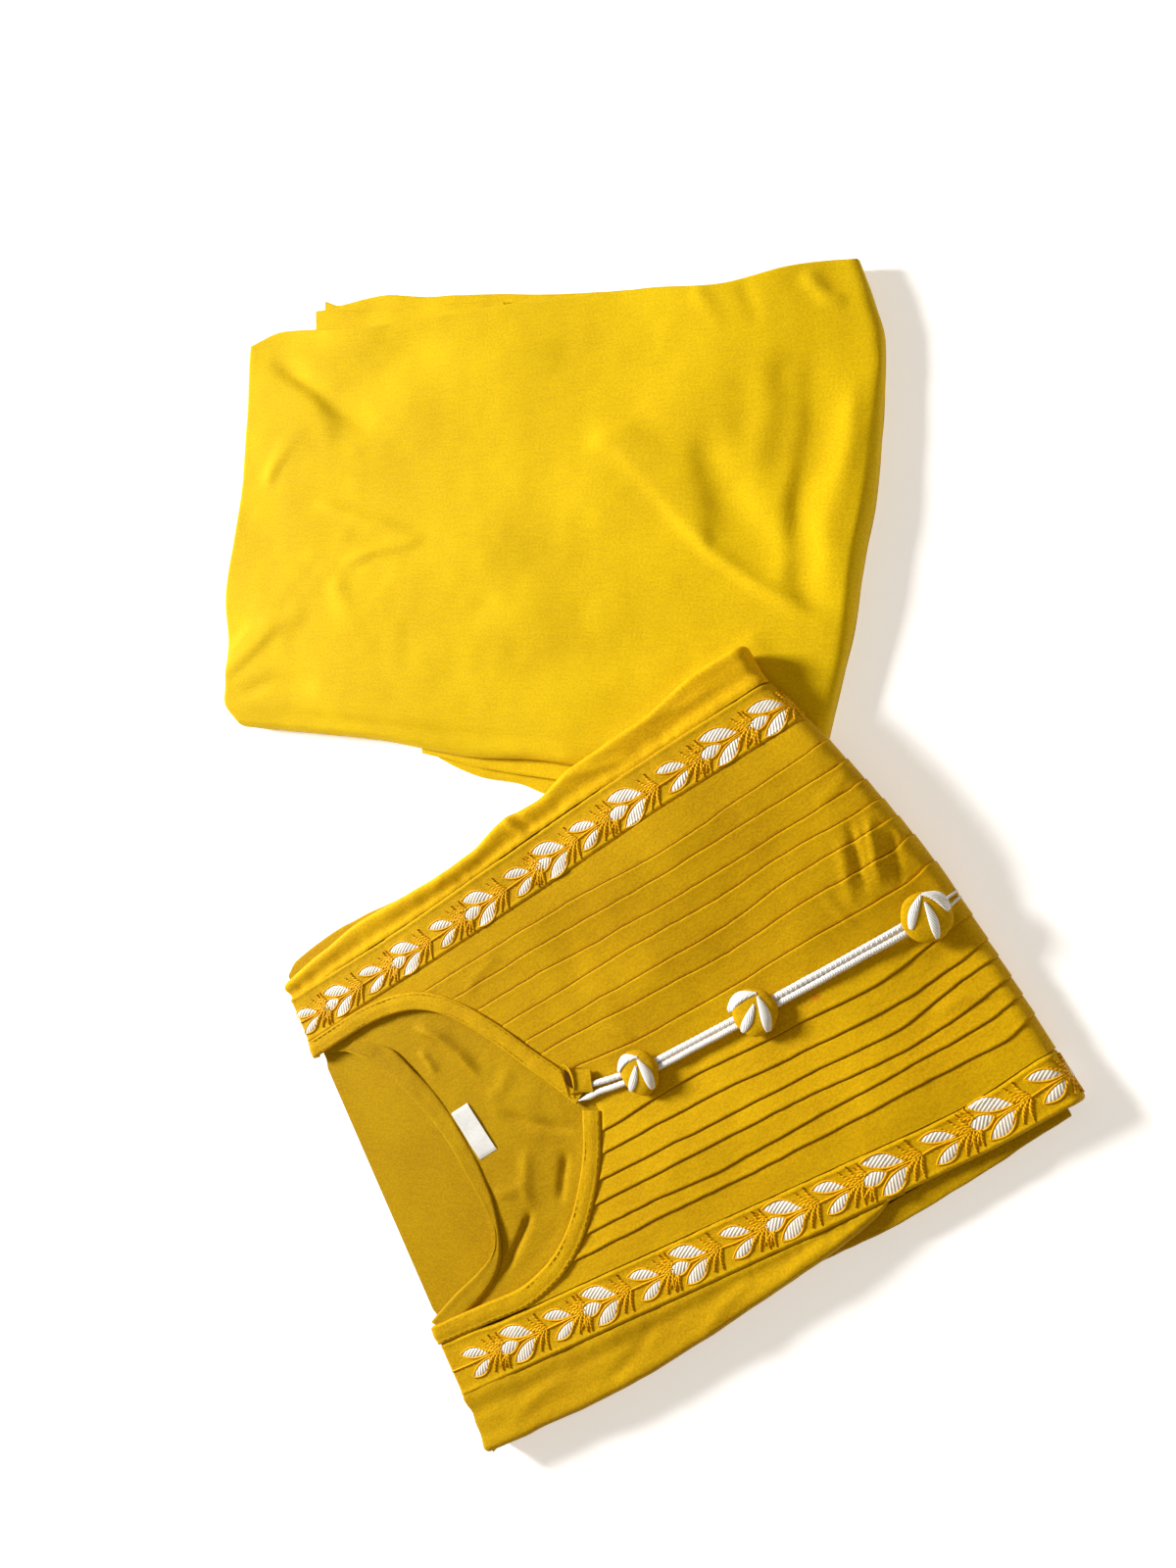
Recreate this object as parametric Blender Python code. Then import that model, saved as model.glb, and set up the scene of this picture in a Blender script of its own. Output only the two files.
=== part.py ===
"""A kurta and its pant, each folded to a flat packet, the kurta's corner lying on the pant.

The kurta's front is laid out flat, by length along it (s), place across it (b) and depth under its skin (d).
It is then turned over the shoulder edge and round the bottom fold, and bent up where it lies on the pant.
Lengths are in millimetres up to the meshes, which are in metres.
"""

import math

import bpy
import numpy as np

MM = 0.001
GAP = 0.3  # between pieces that touch

# The kurta's packet: its axis runs from the neck's low point (a = 0, b = 0) to the bottom fold
KURTA_NECK = (7.0, -125.0)
KURTA_TURN = math.radians(29.9)
KURTA_HEIGHT = 14.5
KURTA_LEFT = -137.0  # shoulder edge
FOLD_END = 192.0
FOLD_SKEW = 21.0  # how far the fold runs back at the upper corner
FOLD_CORNER = 121.0
FOLD_RADIUS = KURTA_HEIGHT / 2
FOLD_LIP = 6.0  # what goes on under the packet
FOLD_FROM, FOLD_TO = -96.6, 135.1  # the hidden layers' sides there
FOLD_ROOM = 0.8  # from the front's inside to the hidden layers
SHOULDER_RADIUS = 3.0
SHOULDER_TURN = 0.8 * math.pi
SIDE_RADIUS = 3.0
CLOTH = 1.2  # wall of one panel with its turnings
SPACING = 15.0  # of the sections along the kurta

# The pant's packet
PANT_MIDDLE = (-36.0, 152.9)
PANT_LENGTH, PANT_WIDTH = 355.0, 235.0
PANT_HEIGHT = 15.0
PANT_TOP = 13.8  # the sheet's plain level, under its ridges
PANT_WALL = 1.5
PANT_CORE_TOP = 10.8

# Where the kurta lies on the pant: the pant's lower right corner, and the way its two edges face
PANT_CORNER = (114.0, 13.9)
PANT_EDGES_FACE = ((-0.134, -0.991), (0.982, -0.191))
LIFT = PANT_TOP + GAP
LIFT_MARGIN = 8.0
LIFT_RAMP = 100.0

# Depths of the front's pieces under the skin, outer and inner
BAND_DEPTH = (0.5, 1.9)
FACING_DEPTH = (0.3, 2.1)
SIDE_DEPTH = 0.6
TUCK_LOW, PANEL_BACK = 0.9, 2.1
TUCK_STEP = 0.3  # across it, from a tuck's edge to the cloth under it
BORDER_DEPTH = 0.4  # of the tucked panels where they meet the borders

# Heights of what shows through the neck
LAYERS_TOP, FRONT_FILL_TOP = 9.5, 11.7
FILL_FROM = 70.0
BEND_ROOM = 0.5
LAYERS_LEFT = 2.5  # in from the shoulder edge
SIDE_ROOM = 0.9
NECK_SPAN = (-60.0, 82.0)
BACK_PANEL_Z = (9.8, 11.9)
BACK_PANEL_END = 12.0
BACK_FACING_Z = (12.2, 13.2)
LABEL_Z = (12.2, 13.2)

FACING_WIDTH = 9.2
NECK_ROOM = 0.6  # from the facing to the front panels
NECK_UPPER = (
    (-134, 84.3), (-104, 84.6), (-87, 83), (-72, 79), (-60, 72), (-47, 58), (-37, 43), (-28, 27), (-19, 12),
    (-12, -2),
)
NECK_LOWER = (
    (-134, -61.5), (-105, -62.8), (-83, -64), (-68, -61.5), (-56, -57), (-44, -49.5), (-30, -36), (-19, -22),
    (-10, -5.5),
)

# Back neckline: across, edge at the neck, stitched edge of its facing
BACK_NECK = (
    (79, -118, -112), (72, -111, -101), (62, -102, -93), (50, -96, -87), (39, -91, -82), (23, -87, -77.5),
    (3, -84, -75.8), (-19, -83, -74.8), (-36, -85, -77), (-47, -93, -81), (-56, -110, -88),
)

BACK_SHOULDERS = (((92, -131), (84, -131), (81, -122)), ((-60, -124), (-63, -131), (-72, -131)))

# Tuck edges across the front: at the neck, at the middle and at the fold
UPPER_TUCKS = (
    (12, 9.8, 13), (26.5, 24, 27), (35.7, 34.5, 37.5), (48.2, 46.6, 47.5), (61, 56.5, 58), (72.2, 67.9, 70),
    (83.3, 77.1, 81),
)
LOWER_TUCKS = (
    (-18, -18.3, -13.5), (-27.5, -29.5, -26), (-38, -39, -33), (-46.8, -47.3, -43), (-57, -56.4, -52),
    (-64.6, -65, -61),
)
TUCK_AT = (0.0, 95.0, 185.0)
# Extra sections of the strip outside each tuck, as shares of its width
UPPER_SECTIONS = ((), (), (), (), (0.5,), (0.5,), (0.3, 0.55, 0.8))
LOWER_SECTIONS = ((), (), (), (), (0.5,), (0.35, 0.6, 0.8))
CENTRE_SEAM = -3.5
SLIT_SECTION = 6.4  # from the seam to the corner of the neck facing

# Edges along the kurta, as places across it
UPPER_BAND_IN = ((-137, 94), (185, 94))
UPPER_BAND_OUT = ((-137, 119), (-50, 118), (185, 118))
LOWER_BAND_IN = ((-137, -71.6), (-109, -73), (-83, -73.9), (2, -76.3), (97, -79), (143, -80), (184, -76))
LOWER_BAND_OUT = ((-137, -97), (-60, -98), (2, -99), (97, -100), (143, -100), (184, -98))
UPPER_EDGE = (
    (-137, 128), (-110, 131), (-80, 133.5), (-55, 132), (-18, 129), (0, 129), (25, 133), (45, 131),
    (70, 135.5), (110, 136), (147, 140), (172, 139),
)
LOWER_EDGE = (
    (-137, -124.5), (-60, -124), (-19, -120.5), (20, -116), (40, -113), (75, -104.5), (84, -101.5),
    (90, -100.5), (192, -100.5),
)
LOWER_LAYERS_EDGE = (
    (-137, -124.5), (-60, -124), (-19, -120.5), (30, -114.5), (58, -112), (100, -110.5), (150, -105.5),
    (184, -101.5),
)
LOWER_SIDE_END = 78.0
UPPER_SLEEVE = ((-136, 133), (-128, 137.5), (-104, 139), (-80, 137.5), (-55, 133.5))
UPPER_SLEEVE_Z = (3.9, 6.4)
LOWER_SLEEVE = ((52, -112.4), (75, -111.3), (100, -110.5), (150, -105.5), (183, -101.5))
LOWER_SLEEVE_IN = ((52, -111.2), (75, -105.0), (84, -102.0), (90, -98.2), (183, -97.5))
LOWER_SLEEVE_Z = (7.4, 9.7)

CORD_WIDTH, CORD_HEIGHT, CORD_PITCH = 2.9, 2.2, 3.1
CORD_LINE = ((0, -3.5), (89, -4.9), (145, -5.4), (176, -5.6), (195, -4.0))
CORD_START = 0.6
CORD_UNDER = 0.4  # depth of its underside
CORD_FOLD_STEPS = 4  # sections round the fold, to where it faces the end
BUTTONS = (25.0, 89.0, 176.0)
BUTTON_RADIUS = 10.7
# Half section of a button: radius as a share, height
BUTTON_SECTION = ((0.94, 0.0), (1.0, 0.9), (0.94, 2.3), (0.66, 3.7), (0.33, 4.3))
LABEL_FROM, LABEL_TO = (-75.0, 24.0), (-65.4, -2.0)
LABEL_SLANT = 1.6
TAB_MIDDLE, TAB_SIZE, TAB_Z = (-3.8, 9.2), 11.5, (14.8, 16.6)

# The pant's four edges, from its middle
PANT_BOTTOM = (
    (-172, -93), (-125, -99), (-82, -105), (-54, -111), (-22, -117), (6, -119), (37, -124), (95, -132),
    (143, -138),
)
PANT_TOP_EDGE = (
    (-172, 127), (-152, 132), (-128, 129), (-100, 124), (-46, 121), (-4, 119), (35, 115), (71, 112),
    (112, 106), (145, 108), (174, 105),
)
PANT_LEFT = (
    (-172, -93), (-184, -77), (-183, -50), (-186, -20), (-179, 23), (-175, 59), (-172, 99), (-172, 127),
)
PANT_RIGHT = (
    (143, -138), (154, -118), (158, -102), (168, -62), (173, -32), (178, -8), (182, 28), (184, 66), (180, 85),
    (174, 105),
)
# Main creases of the pant's sheet: from, to, height, half width
PANT_FOLDS = (
    ((71, 22), (80, 9), 0.8, 9), ((80, 9), (109, -29), 1.1, 9), ((109, -29), (157, -66), 0.9, 10),
    ((156, 26), (143, -29), -1.0, 9), ((143, -29), (155, -60), -0.8, 8),
    ((-110, 23), (-69, 2), 0.7, 7), ((-58, 6), (-103, -23), 0.6, 7), ((-145, 61), (-159, 39), 0.7, 7),
    ((-145, 100), (-115, 84), -0.8, 14), ((97, 105), (108, 87), 0.6, 6), ((-180, -62), (-150, -40), 0.8, 9),
)
# Under layers that show past the sheet: the edge, from left to right, and their heights
UNDER_HEM_FRONT = ((-129, 141), (-115, 139), (-95, 134), (-55, 129.5), (-10, 122.5))
UNDER_HEM_BACK = ((-125, 147), (-115, 143), (-95, 143.5), (-55, 136), (-15, 129), (25, 121), (70, 114.5))
LOWER_LAYER_FRONT = ((-58, -112.5), (-41, -117), (-22, -122), (6, -127), (35, -131), (62, -131))
LOWER_LAYER_BACK = ((-50, -115), (-41, -120), (-22, -127), (-4, -130), (16, -137), (40, -139), (80, -138))

KURTA_COLOUR = (0.73, 0.44, 0.004)
PANT_COLOUR = (0.86, 0.64, 0.004)
WHITE = (0.85, 0.85, 0.83)


def smooth_at(table, x):
    """The second column at x of a table sorted by its first, through a smooth curve, even past its ends."""
    xs, ys = np.array(table, float).T[:2]
    rise = np.diff(ys) / np.diff(xs)
    same_way = rise[:-1] * rise[1:] > 0
    both = np.where(same_way, rise[:-1] + rise[1:], 1.0)
    middle = np.where(same_way, 2 * rise[:-1] * rise[1:] / both, 0.0)
    slope = np.concatenate([rise[:1], middle, rise[-1:]])
    i = int(np.clip(np.searchsorted(xs, x) - 1, 0, len(xs) - 2))
    step = xs[i + 1] - xs[i]
    t = float(np.clip((x - xs[i]) / step, 0.0, 1.0))
    keep, gain = (1 + 2 * t) * (1 - t) ** 2, t * t * (3 - 2 * t)
    turn = step * (t * (1 - t) ** 2 * slope[i] - t * t * (1 - t) * slope[i + 1])
    return float(keep * ys[i] + gain * ys[i + 1] + turn)


def curve_at(points, t):
    """A point of a smooth curve through the points, t from 0 to 1 along it."""
    points = np.array(points, float)
    run = np.concatenate([[0.0], np.cumsum(np.linalg.norm(np.diff(points, axis=0), axis=1))])
    run /= run[-1]
    return np.array([smooth_at(np.column_stack([run, points[:, k]]), t) for k in (0, 1)])


def offset_curve(points, distance, count):
    """Points of the smooth curve and of its parallel at a distance to the left of its way."""
    near, far = [], []
    for t in np.linspace(0.0, 1.0, count):
        ahead = curve_at(points, min(t + 0.01, 1.0)) - curve_at(points, max(t - 0.01, 0.0))
        ahead /= np.linalg.norm(ahead)
        point = curve_at(points, t)
        near.append(point)
        far.append(point + distance * np.array([-ahead[1], ahead[0]]))
    return np.array(near), np.array(far)


def ease(t):
    t = min(max(t, 0.0), 1.0)
    return t * t * (3 - 2 * t)


def lift(x, y):
    """How far the pant raises the kurta at a place."""
    out = [
        max((x - PANT_CORNER[0]) * fx + (y - PANT_CORNER[1]) * fy - LIFT_MARGIN, 0.0)
        for fx, fy in PANT_EDGES_FACE
    ]
    return LIFT * (1.0 - ease(math.hypot(*out) / LIFT_RAMP))


def kurta_point(a, b, z):
    x = KURTA_NECK[0] + a * math.cos(KURTA_TURN) - b * math.sin(KURTA_TURN)
    y = KURTA_NECK[1] + a * math.sin(KURTA_TURN) + b * math.cos(KURTA_TURN)
    return (x, y, z + lift(x, y))


def fold_end(b):
    return FOLD_END - FOLD_SKEW * (min(max(b, 0.0), FOLD_CORNER) / FOLD_CORNER) ** 1.5


def front_point(s, b, d):
    """A point of the flat front, turned over the shoulder edge and round the bottom fold."""
    shoulder = KURTA_LEFT + SHOULDER_RADIUS
    fold = fold_end(b) - FOLD_RADIUS
    if s < shoulder:
        turn = (shoulder - s) / SHOULDER_RADIUS
        radius = SHOULDER_RADIUS - d
        a = shoulder - radius * math.sin(turn)
        return kurta_point(a, b, KURTA_HEIGHT - SHOULDER_RADIUS + radius * math.cos(turn))
    if s <= fold:
        return kurta_point(s, b, KURTA_HEIGHT - d)
    turn = min((s - fold) / FOLD_RADIUS, math.pi)
    past = s - fold - math.pi * FOLD_RADIUS
    radius = FOLD_RADIUS - d
    a = fold + radius * math.sin(turn) - max(past, 0.0)
    return kurta_point(a, b, FOLD_RADIUS + radius * math.cos(turn))


def material(name, colour, roughness=0.8):
    made = bpy.data.materials.new(name)
    made.use_nodes = True
    shader = made.node_tree.nodes["Principled BSDF"]
    shader.inputs["Base Color"].default_value = (*colour, 1.0)
    shader.inputs["Roughness"].default_value = roughness
    shader.inputs["Metallic"].default_value = 0.0
    made.diffuse_color = (*colour, 1.0)
    return made


def solid(name, points, faces, colour, roughness=0.8):
    """One closed body from points in millimetres, its faces turned outwards."""
    points = np.array(points, float) * MM
    middle = points.mean(axis=0)
    volume = 0.0
    for face in faces:
        for k in range(1, len(face) - 1):
            volume += np.linalg.det(points[[face[0], face[k], face[k + 1]]] - middle)
    if volume < 0:
        faces = [face[::-1] for face in faces]
    mesh = bpy.data.meshes.new(name)
    mesh.from_pydata(points.tolist(), [], [list(face) for face in faces])
    mesh.shade_smooth()
    mesh.set_sharp_from_angle(angle=math.radians(40))
    mesh.materials.append(material(name, colour, roughness))
    piece = bpy.data.objects.new(name, mesh)
    bpy.context.scene.collection.objects.link(piece)
    return piece


def rim(rows, columns):
    """The border of a grid, as index pairs in order."""
    around = [(0, j) for j in range(columns)]
    around += [(i, columns - 1) for i in range(1, rows)]
    around += [(rows - 1, j) for j in range(columns - 2, -1, -1)]
    around += [(i, 0) for i in range(rows - 2, 0, -1)]
    return around


def block(name, top, rings, bottom, colour, roughness=0.8):
    """A body between two grids of the same size, whose side passes through rings given from top to bottom."""
    top, bottom = np.array(top, float), np.array(bottom, float)
    rows, columns = top.shape[:2]
    border = rim(rows, columns)
    points = [*top.reshape(-1, 3), *bottom.reshape(-1, 3)]
    under = rows * columns
    faces = []
    for i in range(rows - 1):
        for j in range(columns - 1):
            corner = i * columns + j
            face = (corner, corner + 1, corner + columns + 1, corner + columns)
            faces += [face[::-1], tuple(under + k for k in face)]
    levels = [[i * columns + j for i, j in border]]
    for ring in rings:
        levels.append(list(range(len(points), len(points) + len(border))))
        points += list(ring)
    levels.append([under + k for k in levels[0]])
    count = len(border)
    for upper, lower in zip(levels, levels[1:]):
        faces += [(upper[k], upper[(k + 1) % count], lower[(k + 1) % count], lower[k]) for k in range(count)]
    return solid(name, points, faces, colour, roughness)


def slab(name, outer, inner, colour, roughness=0.8):
    return block(name, outer, [], inner, colour, roughness)


def shoulder_stations():
    """Lengths along the front where it turns down at the shoulder edge."""
    shoulder = KURTA_LEFT + SHOULDER_RADIUS
    return [shoulder - SHOULDER_RADIUS * SHOULDER_TURN * k / 3 for k in (3, 2, 1, 0)]


def fold_stations(b):
    """Lengths along the front from the start of the bottom fold to the end of its lip."""
    start = fold_end(b) - FOLD_RADIUS
    turns = [start + FOLD_RADIUS * math.pi * k / 6 for k in range(7)]
    return turns + [turns[-1] + FOLD_LIP]


def flat_stations(start, end=150.0):
    return list(np.arange(start, end + 1.0, SPACING))


def whole_stations(b):
    return shoulder_stations() + [-105.0, -75.0] + flat_stations(-60.0) + fold_stations(b)


def front_piece(name, columns):
    """A piece of the front from columns of (station, across, outer depth, inner depth)."""
    outer = [[front_point(s, b, near) for s, b, near, _ in column] for column in columns]
    inner = [[front_point(s, b, far) for s, b, _, far in column] for column in columns]
    return slab(name, outer, inner, KURTA_COLOUR)


def band(name, inside, outside, sign):
    """An embroidered border, from the shoulder edge to the lip under the fold."""
    columns = []
    for share in (0.0, 1 / 3, 2 / 3, 1.0):
        level = inside[-1][1] + (outside[-1][1] - inside[-1][1]) * share
        column = []
        for s in whole_stations(level):
            near = smooth_at(inside, s) + sign * GAP / 2
            far = smooth_at(outside, s) - sign * GAP / 2
            column.append((s, near + (far - near) * share, *BAND_DEPTH))
        columns.append(column)
    return front_piece(name, columns)


def side_panel(name, inside, edge, sign, stations):
    """A plain side of the front with its rolled side fold."""
    columns = []
    for kind in ("seam", "middle", 0, 1, 2, 3, 4, 5):
        column = []
        for s in stations:
            seam = smooth_at(inside, s) + sign * GAP / 2
            start = smooth_at(edge, s) - sign * SIDE_RADIUS
            if kind in ("seam", "middle"):
                across = seam if kind == "seam" else (seam + start) / 2
                column.append((s, across, across, SIDE_DEPTH, SIDE_DEPTH + CLOTH))
                continue
            turn = math.pi * kind / 5
            places = []
            for radius in (SIDE_RADIUS, SIDE_RADIUS - CLOTH):
                places.append(start + sign * radius * math.sin(turn))
                places.append(SIDE_DEPTH + SIDE_RADIUS - radius * math.cos(turn))
            column.append((s, places[0], places[2], places[1], places[3]))
        columns.append(column)
    outer = [[front_point(s, b, d) for s, b, _, d, _ in column] for column in columns]
    inner = [[front_point(s, b, d) for s, _, b, _, d in column] for column in columns]
    return slab(name, outer, inner, KURTA_COLOUR)


def neck_start(neck, sign, b):
    """Where a front panel begins at a place across it, just past the neck facing."""
    _, far = offset_curve(neck, sign * (FACING_WIDTH + NECK_ROOM), 60)
    inwards = far[np.argmax(sign * far[:, 1]):]
    return float(np.interp(sign * b, sign * inwards[::-1, 1], inwards[::-1, 0]))


def tucked_panel(name, tucks, neck, sign, border, extra):
    """A front panel whose pin tucks lie flat, each fold standing above the next one out.

    The outer strips have extra sections, because the neck runs along them.
    """
    centre = CENTRE_SEAM + sign * GAP / 2
    edges = [((centre,) * 3, TUCK_LOW), ((centre + sign * SLIT_SECTION,) * 3, TUCK_LOW)]
    at_border = tuple(smooth_at(border, s) - sign * GAP / 2 for s in TUCK_AT)
    for places, following, shares in zip(tucks, [*tucks[1:], at_border], extra):
        edges.append((places, 0.0))
        low = tuple(b + sign * TUCK_STEP for b in places)
        edges.append((low, TUCK_LOW))
        for share in shares:
            between = tuple(p + (q - p) * share for p, q in zip(low, following))
            edges.append((between, TUCK_LOW * (1 - share)))
    edges.append((at_border, BORDER_DEPTH))
    columns = []
    for places, depth in edges:
        curve = np.polyfit(TUCK_AT, places, 2)
        start = neck_start(neck, sign, places[0])
        stations = [*np.linspace(start, SPACING, 4)[:-1], *flat_stations(SPACING), *fold_stations(places[2])]
        column = []
        for s in stations:
            across = float(np.polyval(curve, np.clip(s, 0.0, TUCK_AT[2])))
            if places is at_border:
                across = smooth_at(border, s) - sign * GAP / 2
            column.append((s, across, depth, PANEL_BACK))
        columns.append(column)
    return front_piece(name, columns)


def neck_facing(name, neck, sign):
    """Half of the band round the front neck, from the shoulder edge to the slit."""
    near, far = offset_curve(neck, sign * FACING_WIDTH, 24)
    ends = shoulder_stations()[:-1]
    inner_edge = [(s, near[0][1]) for s in ends] + [tuple(p) for p in near]
    outer_edge = [(s, far[0][1]) for s in ends] + [tuple(p) for p in far]
    middle = [((p[0] + q[0]) / 2, (p[1] + q[1]) / 2) for p, q in zip(inner_edge, outer_edge)]
    columns = [[(s, b, *FACING_DEPTH) for s, b in line] for line in (inner_edge, middle, outer_edge)]
    return front_piece(name, columns)


def layers_nose(z):
    """How far the hidden layers reach into the bottom fold at a height."""
    if z < PANEL_BACK + 2 * GAP:
        return -FOLD_RADIUS - FOLD_LIP - 2 * GAP
    room = (FOLD_RADIUS - PANEL_BACK - FOLD_ROOM) ** 2 - (z - FOLD_RADIUS) ** 2
    return math.sqrt(max(room, 0.0)) - FOLD_RADIUS


def kurta_layers():
    """The kurta's hidden layers as one body: a folded lower part, and a narrower part inside the side folds."""
    # height, how far in the lower part's sides lie, whether it belongs to the upper part
    levels = (
        (9.2, 0.0, True), (7.12, 0.0, True), (7.1, 2.2, False), (6.6, 0.8, False), (5.6, 0.0, False),
        (3.8, 0.5, False), (3.1, 1.8, False), (2.6, 0.8, False), (1.0, 0.8, False),
    )
    rows = [-110.0, -75.0] + flat_stations(-45.0)
    corner = (FOLD_CORNER - FOLD_FROM) / (FOLD_TO - FOLD_FROM)
    across = [*np.linspace(0.0, corner, 11), 1.0]

    def place(row, share, z):
        end = fold_end(FOLD_FROM + (FOLD_TO - FOLD_FROM) * share)
        if row == "nose":
            return end + layers_nose(z)
        return {"left": KURTA_LEFT + LAYERS_LEFT, "last": end - 15.2, "step": end - 14.5}.get(row, row)

    def grid(z, inset, upper, heights=None):
        made = []
        for row in ["left", *rows, "last", "step", "nose"]:
            line = []
            for share in across:
                a = place(row, share, z)
                if upper or row in ("step", "nose"):
                    top = smooth_at(UPPER_EDGE, a) - SIDE_RADIUS - SIDE_ROOM
                    low = smooth_at(LOWER_EDGE, a) + SIDE_RADIUS + SIDE_ROOM
                else:
                    top = smooth_at(UPPER_EDGE, a) - inset
                    low = smooth_at(LOWER_LAYERS_EDGE, a) + inset
                b = low + (top - low) * share
                if row == "left" and upper and not NECK_SPAN[0] < b < NECK_SPAN[1]:
                    a = KURTA_LEFT + 2 * SHOULDER_RADIUS
                height = z if heights is None else heights(a, b)
                line.append(kurta_point(a, b, height))
            made.append(line)
        return np.array(made)

    def top_height(a, b):
        """Higher past the back panel's end, and a little lower where the packet bends up."""
        part = kurta_point(a, b, 0.0)[2] / LIFT
        return (FRONT_FILL_TOP if a > FILL_FROM else LAYERS_TOP) - BEND_ROOM * min(1.0, 8 * part * (1 - part))

    def border(level):
        made = grid(*level)
        return [made[i, j] for i, j in rim(*made.shape[:2])]

    rings = [border(level) for level in levels]
    top = grid(FRONT_FILL_TOP, 0.0, True, top_height)
    bottom = grid(0.0, 2.4, False)
    return block("kurta_folded_layers", top, rings, bottom, KURTA_COLOUR)


def back_panel():
    """The inside of the back, seen through the neck, from its neckline to under the front."""
    low, high = BACK_PANEL_Z
    left = [*BACK_SHOULDERS[0], *[(b, a) for b, a, _ in BACK_NECK], *BACK_SHOULDERS[1]]
    grid = [[(a + (BACK_PANEL_END - a) * t, b) for t in np.linspace(0.0, 1.0, 9)] for b, a in left]
    upper = [[kurta_point(a, b, high) for a, b in line] for line in grid]
    lower = [[kurta_point(a, b, low) for a, b in line] for line in grid]
    return slab("kurta_back_panel", upper, lower, KURTA_COLOUR)


def flat_strip(name, lines, z, colour, roughness=0.8):
    """A thin flat piece of the kurta from lines of (a, b) points, between two heights."""
    low, high = z
    upper = [[kurta_point(a, b, high) for a, b in line] for line in lines]
    lower = [[kurta_point(a, b, low) for a, b in line] for line in lines]
    return slab(name, upper, lower, colour, roughness)


def back_facing():
    lines = []
    for b, neckline, stitched in BACK_NECK:
        neckline += GAP
        lines.append([(neckline, b), ((neckline + stitched) / 2, b), (stitched, b)])
    return flat_strip("kurta_back_neck_facing", lines, BACK_FACING_Z, KURTA_COLOUR)


def label():
    (a0, b0), (a1, b1) = LABEL_FROM, LABEL_TO
    lines = [[(a0, b0), (a1, b0)], [(a0 + LABEL_SLANT, b1), (a1 + LABEL_SLANT, b1)]]
    return flat_strip("kurta_label", lines, LABEL_Z, WHITE)


def neck_tab():
    """The folded loop at the top of the slit, slightly turned and pinched at its middle."""
    lines = []
    for i in (-1, 0, 1):
        line = []
        for j in (-1, 0, 1):
            pinch = 0.86 if 0 in (i, j) else 1.0
            a, b = i * pinch * TAB_SIZE / 2, j * pinch * TAB_SIZE / 2
            line.append((TAB_MIDDLE[0] + a + 0.15 * b, TAB_MIDDLE[1] + b - 0.15 * a))
        lines.append(line)
    return flat_strip("kurta_neck_tab", lines, TAB_Z, KURTA_COLOUR)


def sleeve_fold(name, edge, inside, z):
    """The edge of a folded sleeve that shows past the side fold."""
    low, high = z
    first, last = edge[0][0], edge[-1][0]
    grids = {}
    for height in (low, (low + high) / 2, high):
        tuck_in = 0.0 if height == (low + high) / 2 else 0.8
        lines = []
        for a in np.linspace(first, last, 10):
            outside, within = smooth_at(edge, a), inside(a)
            way = 1.0 if outside > within else -1.0
            outside = within + way * max(abs(outside - within) - tuck_in, 0.4)
            lines.append([kurta_point(a, within, height), kurta_point(a, outside, height)])
        grids[height] = np.array(lines)
    middle = grids[(low + high) / 2]
    ring = [middle[i, j] for i, j in rim(*middle.shape[:2])]
    return block(name, grids[high], [ring], grids[low], KURTA_COLOUR)


def cord(name, side):
    """One of the two white cords along the slit, turned down over the fold."""
    centre_depth = CORD_UNDER - CORD_HEIGHT / 2
    stations = [CORD_START] + flat_stations(SPACING) + fold_stations(0.0)[:CORD_FOLD_STEPS]
    turns = [2 * math.pi * k / 6 for k in range(6)]
    points = []
    for s in stations:
        across = smooth_at(CORD_LINE, s) + side * CORD_PITCH / 2
        for turn in turns:
            b = across + CORD_WIDTH / 2 * math.sin(turn)
            points.append(front_point(s, b, centre_depth - CORD_HEIGHT / 2 * math.cos(turn)))
    count = len(turns)
    faces = [tuple(range(count)), tuple(range(len(points) - 1, len(points) - 1 - count, -1))]
    for i in range(len(stations) - 1):
        for k in range(count):
            a, b = i * count + k, i * count + (k + 1) % count
            faces.append((b, a, a + count, b + count))
    return solid(name, points, faces, WHITE, 0.6)


def button(number, a):
    """A covered button, lying on the cords."""
    b = smooth_at(CORD_LINE, a)
    base = KURTA_HEIGHT - CORD_UNDER + CORD_HEIGHT + GAP
    count = 16
    points, faces = [], []
    for share, z in BUTTON_SECTION:
        for k in range(count):
            turn = 2 * math.pi * k / count
            radius = BUTTON_RADIUS * share
            points.append(kurta_point(a + radius * math.cos(turn), b + radius * math.sin(turn), base + z))
    for i in range(len(BUTTON_SECTION) - 1):
        for k in range(count):
            p, q = i * count + k, i * count + (k + 1) % count
            faces.append((p, q, q + count, p + count))
    top, bottom = len(points), len(points) + 1
    points += [kurta_point(a, b, base + BUTTON_SECTION[-1][1] + 0.1), kurta_point(a, b, base)]
    last = (len(BUTTON_SECTION) - 1) * count
    for k in range(count):
        following = (k + 1) % count
        faces.append((last + k, last + following, top))
        faces.append((following, k, bottom))
    return solid(f"kurta_button_{number}", points, faces, KURTA_COLOUR)


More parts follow.
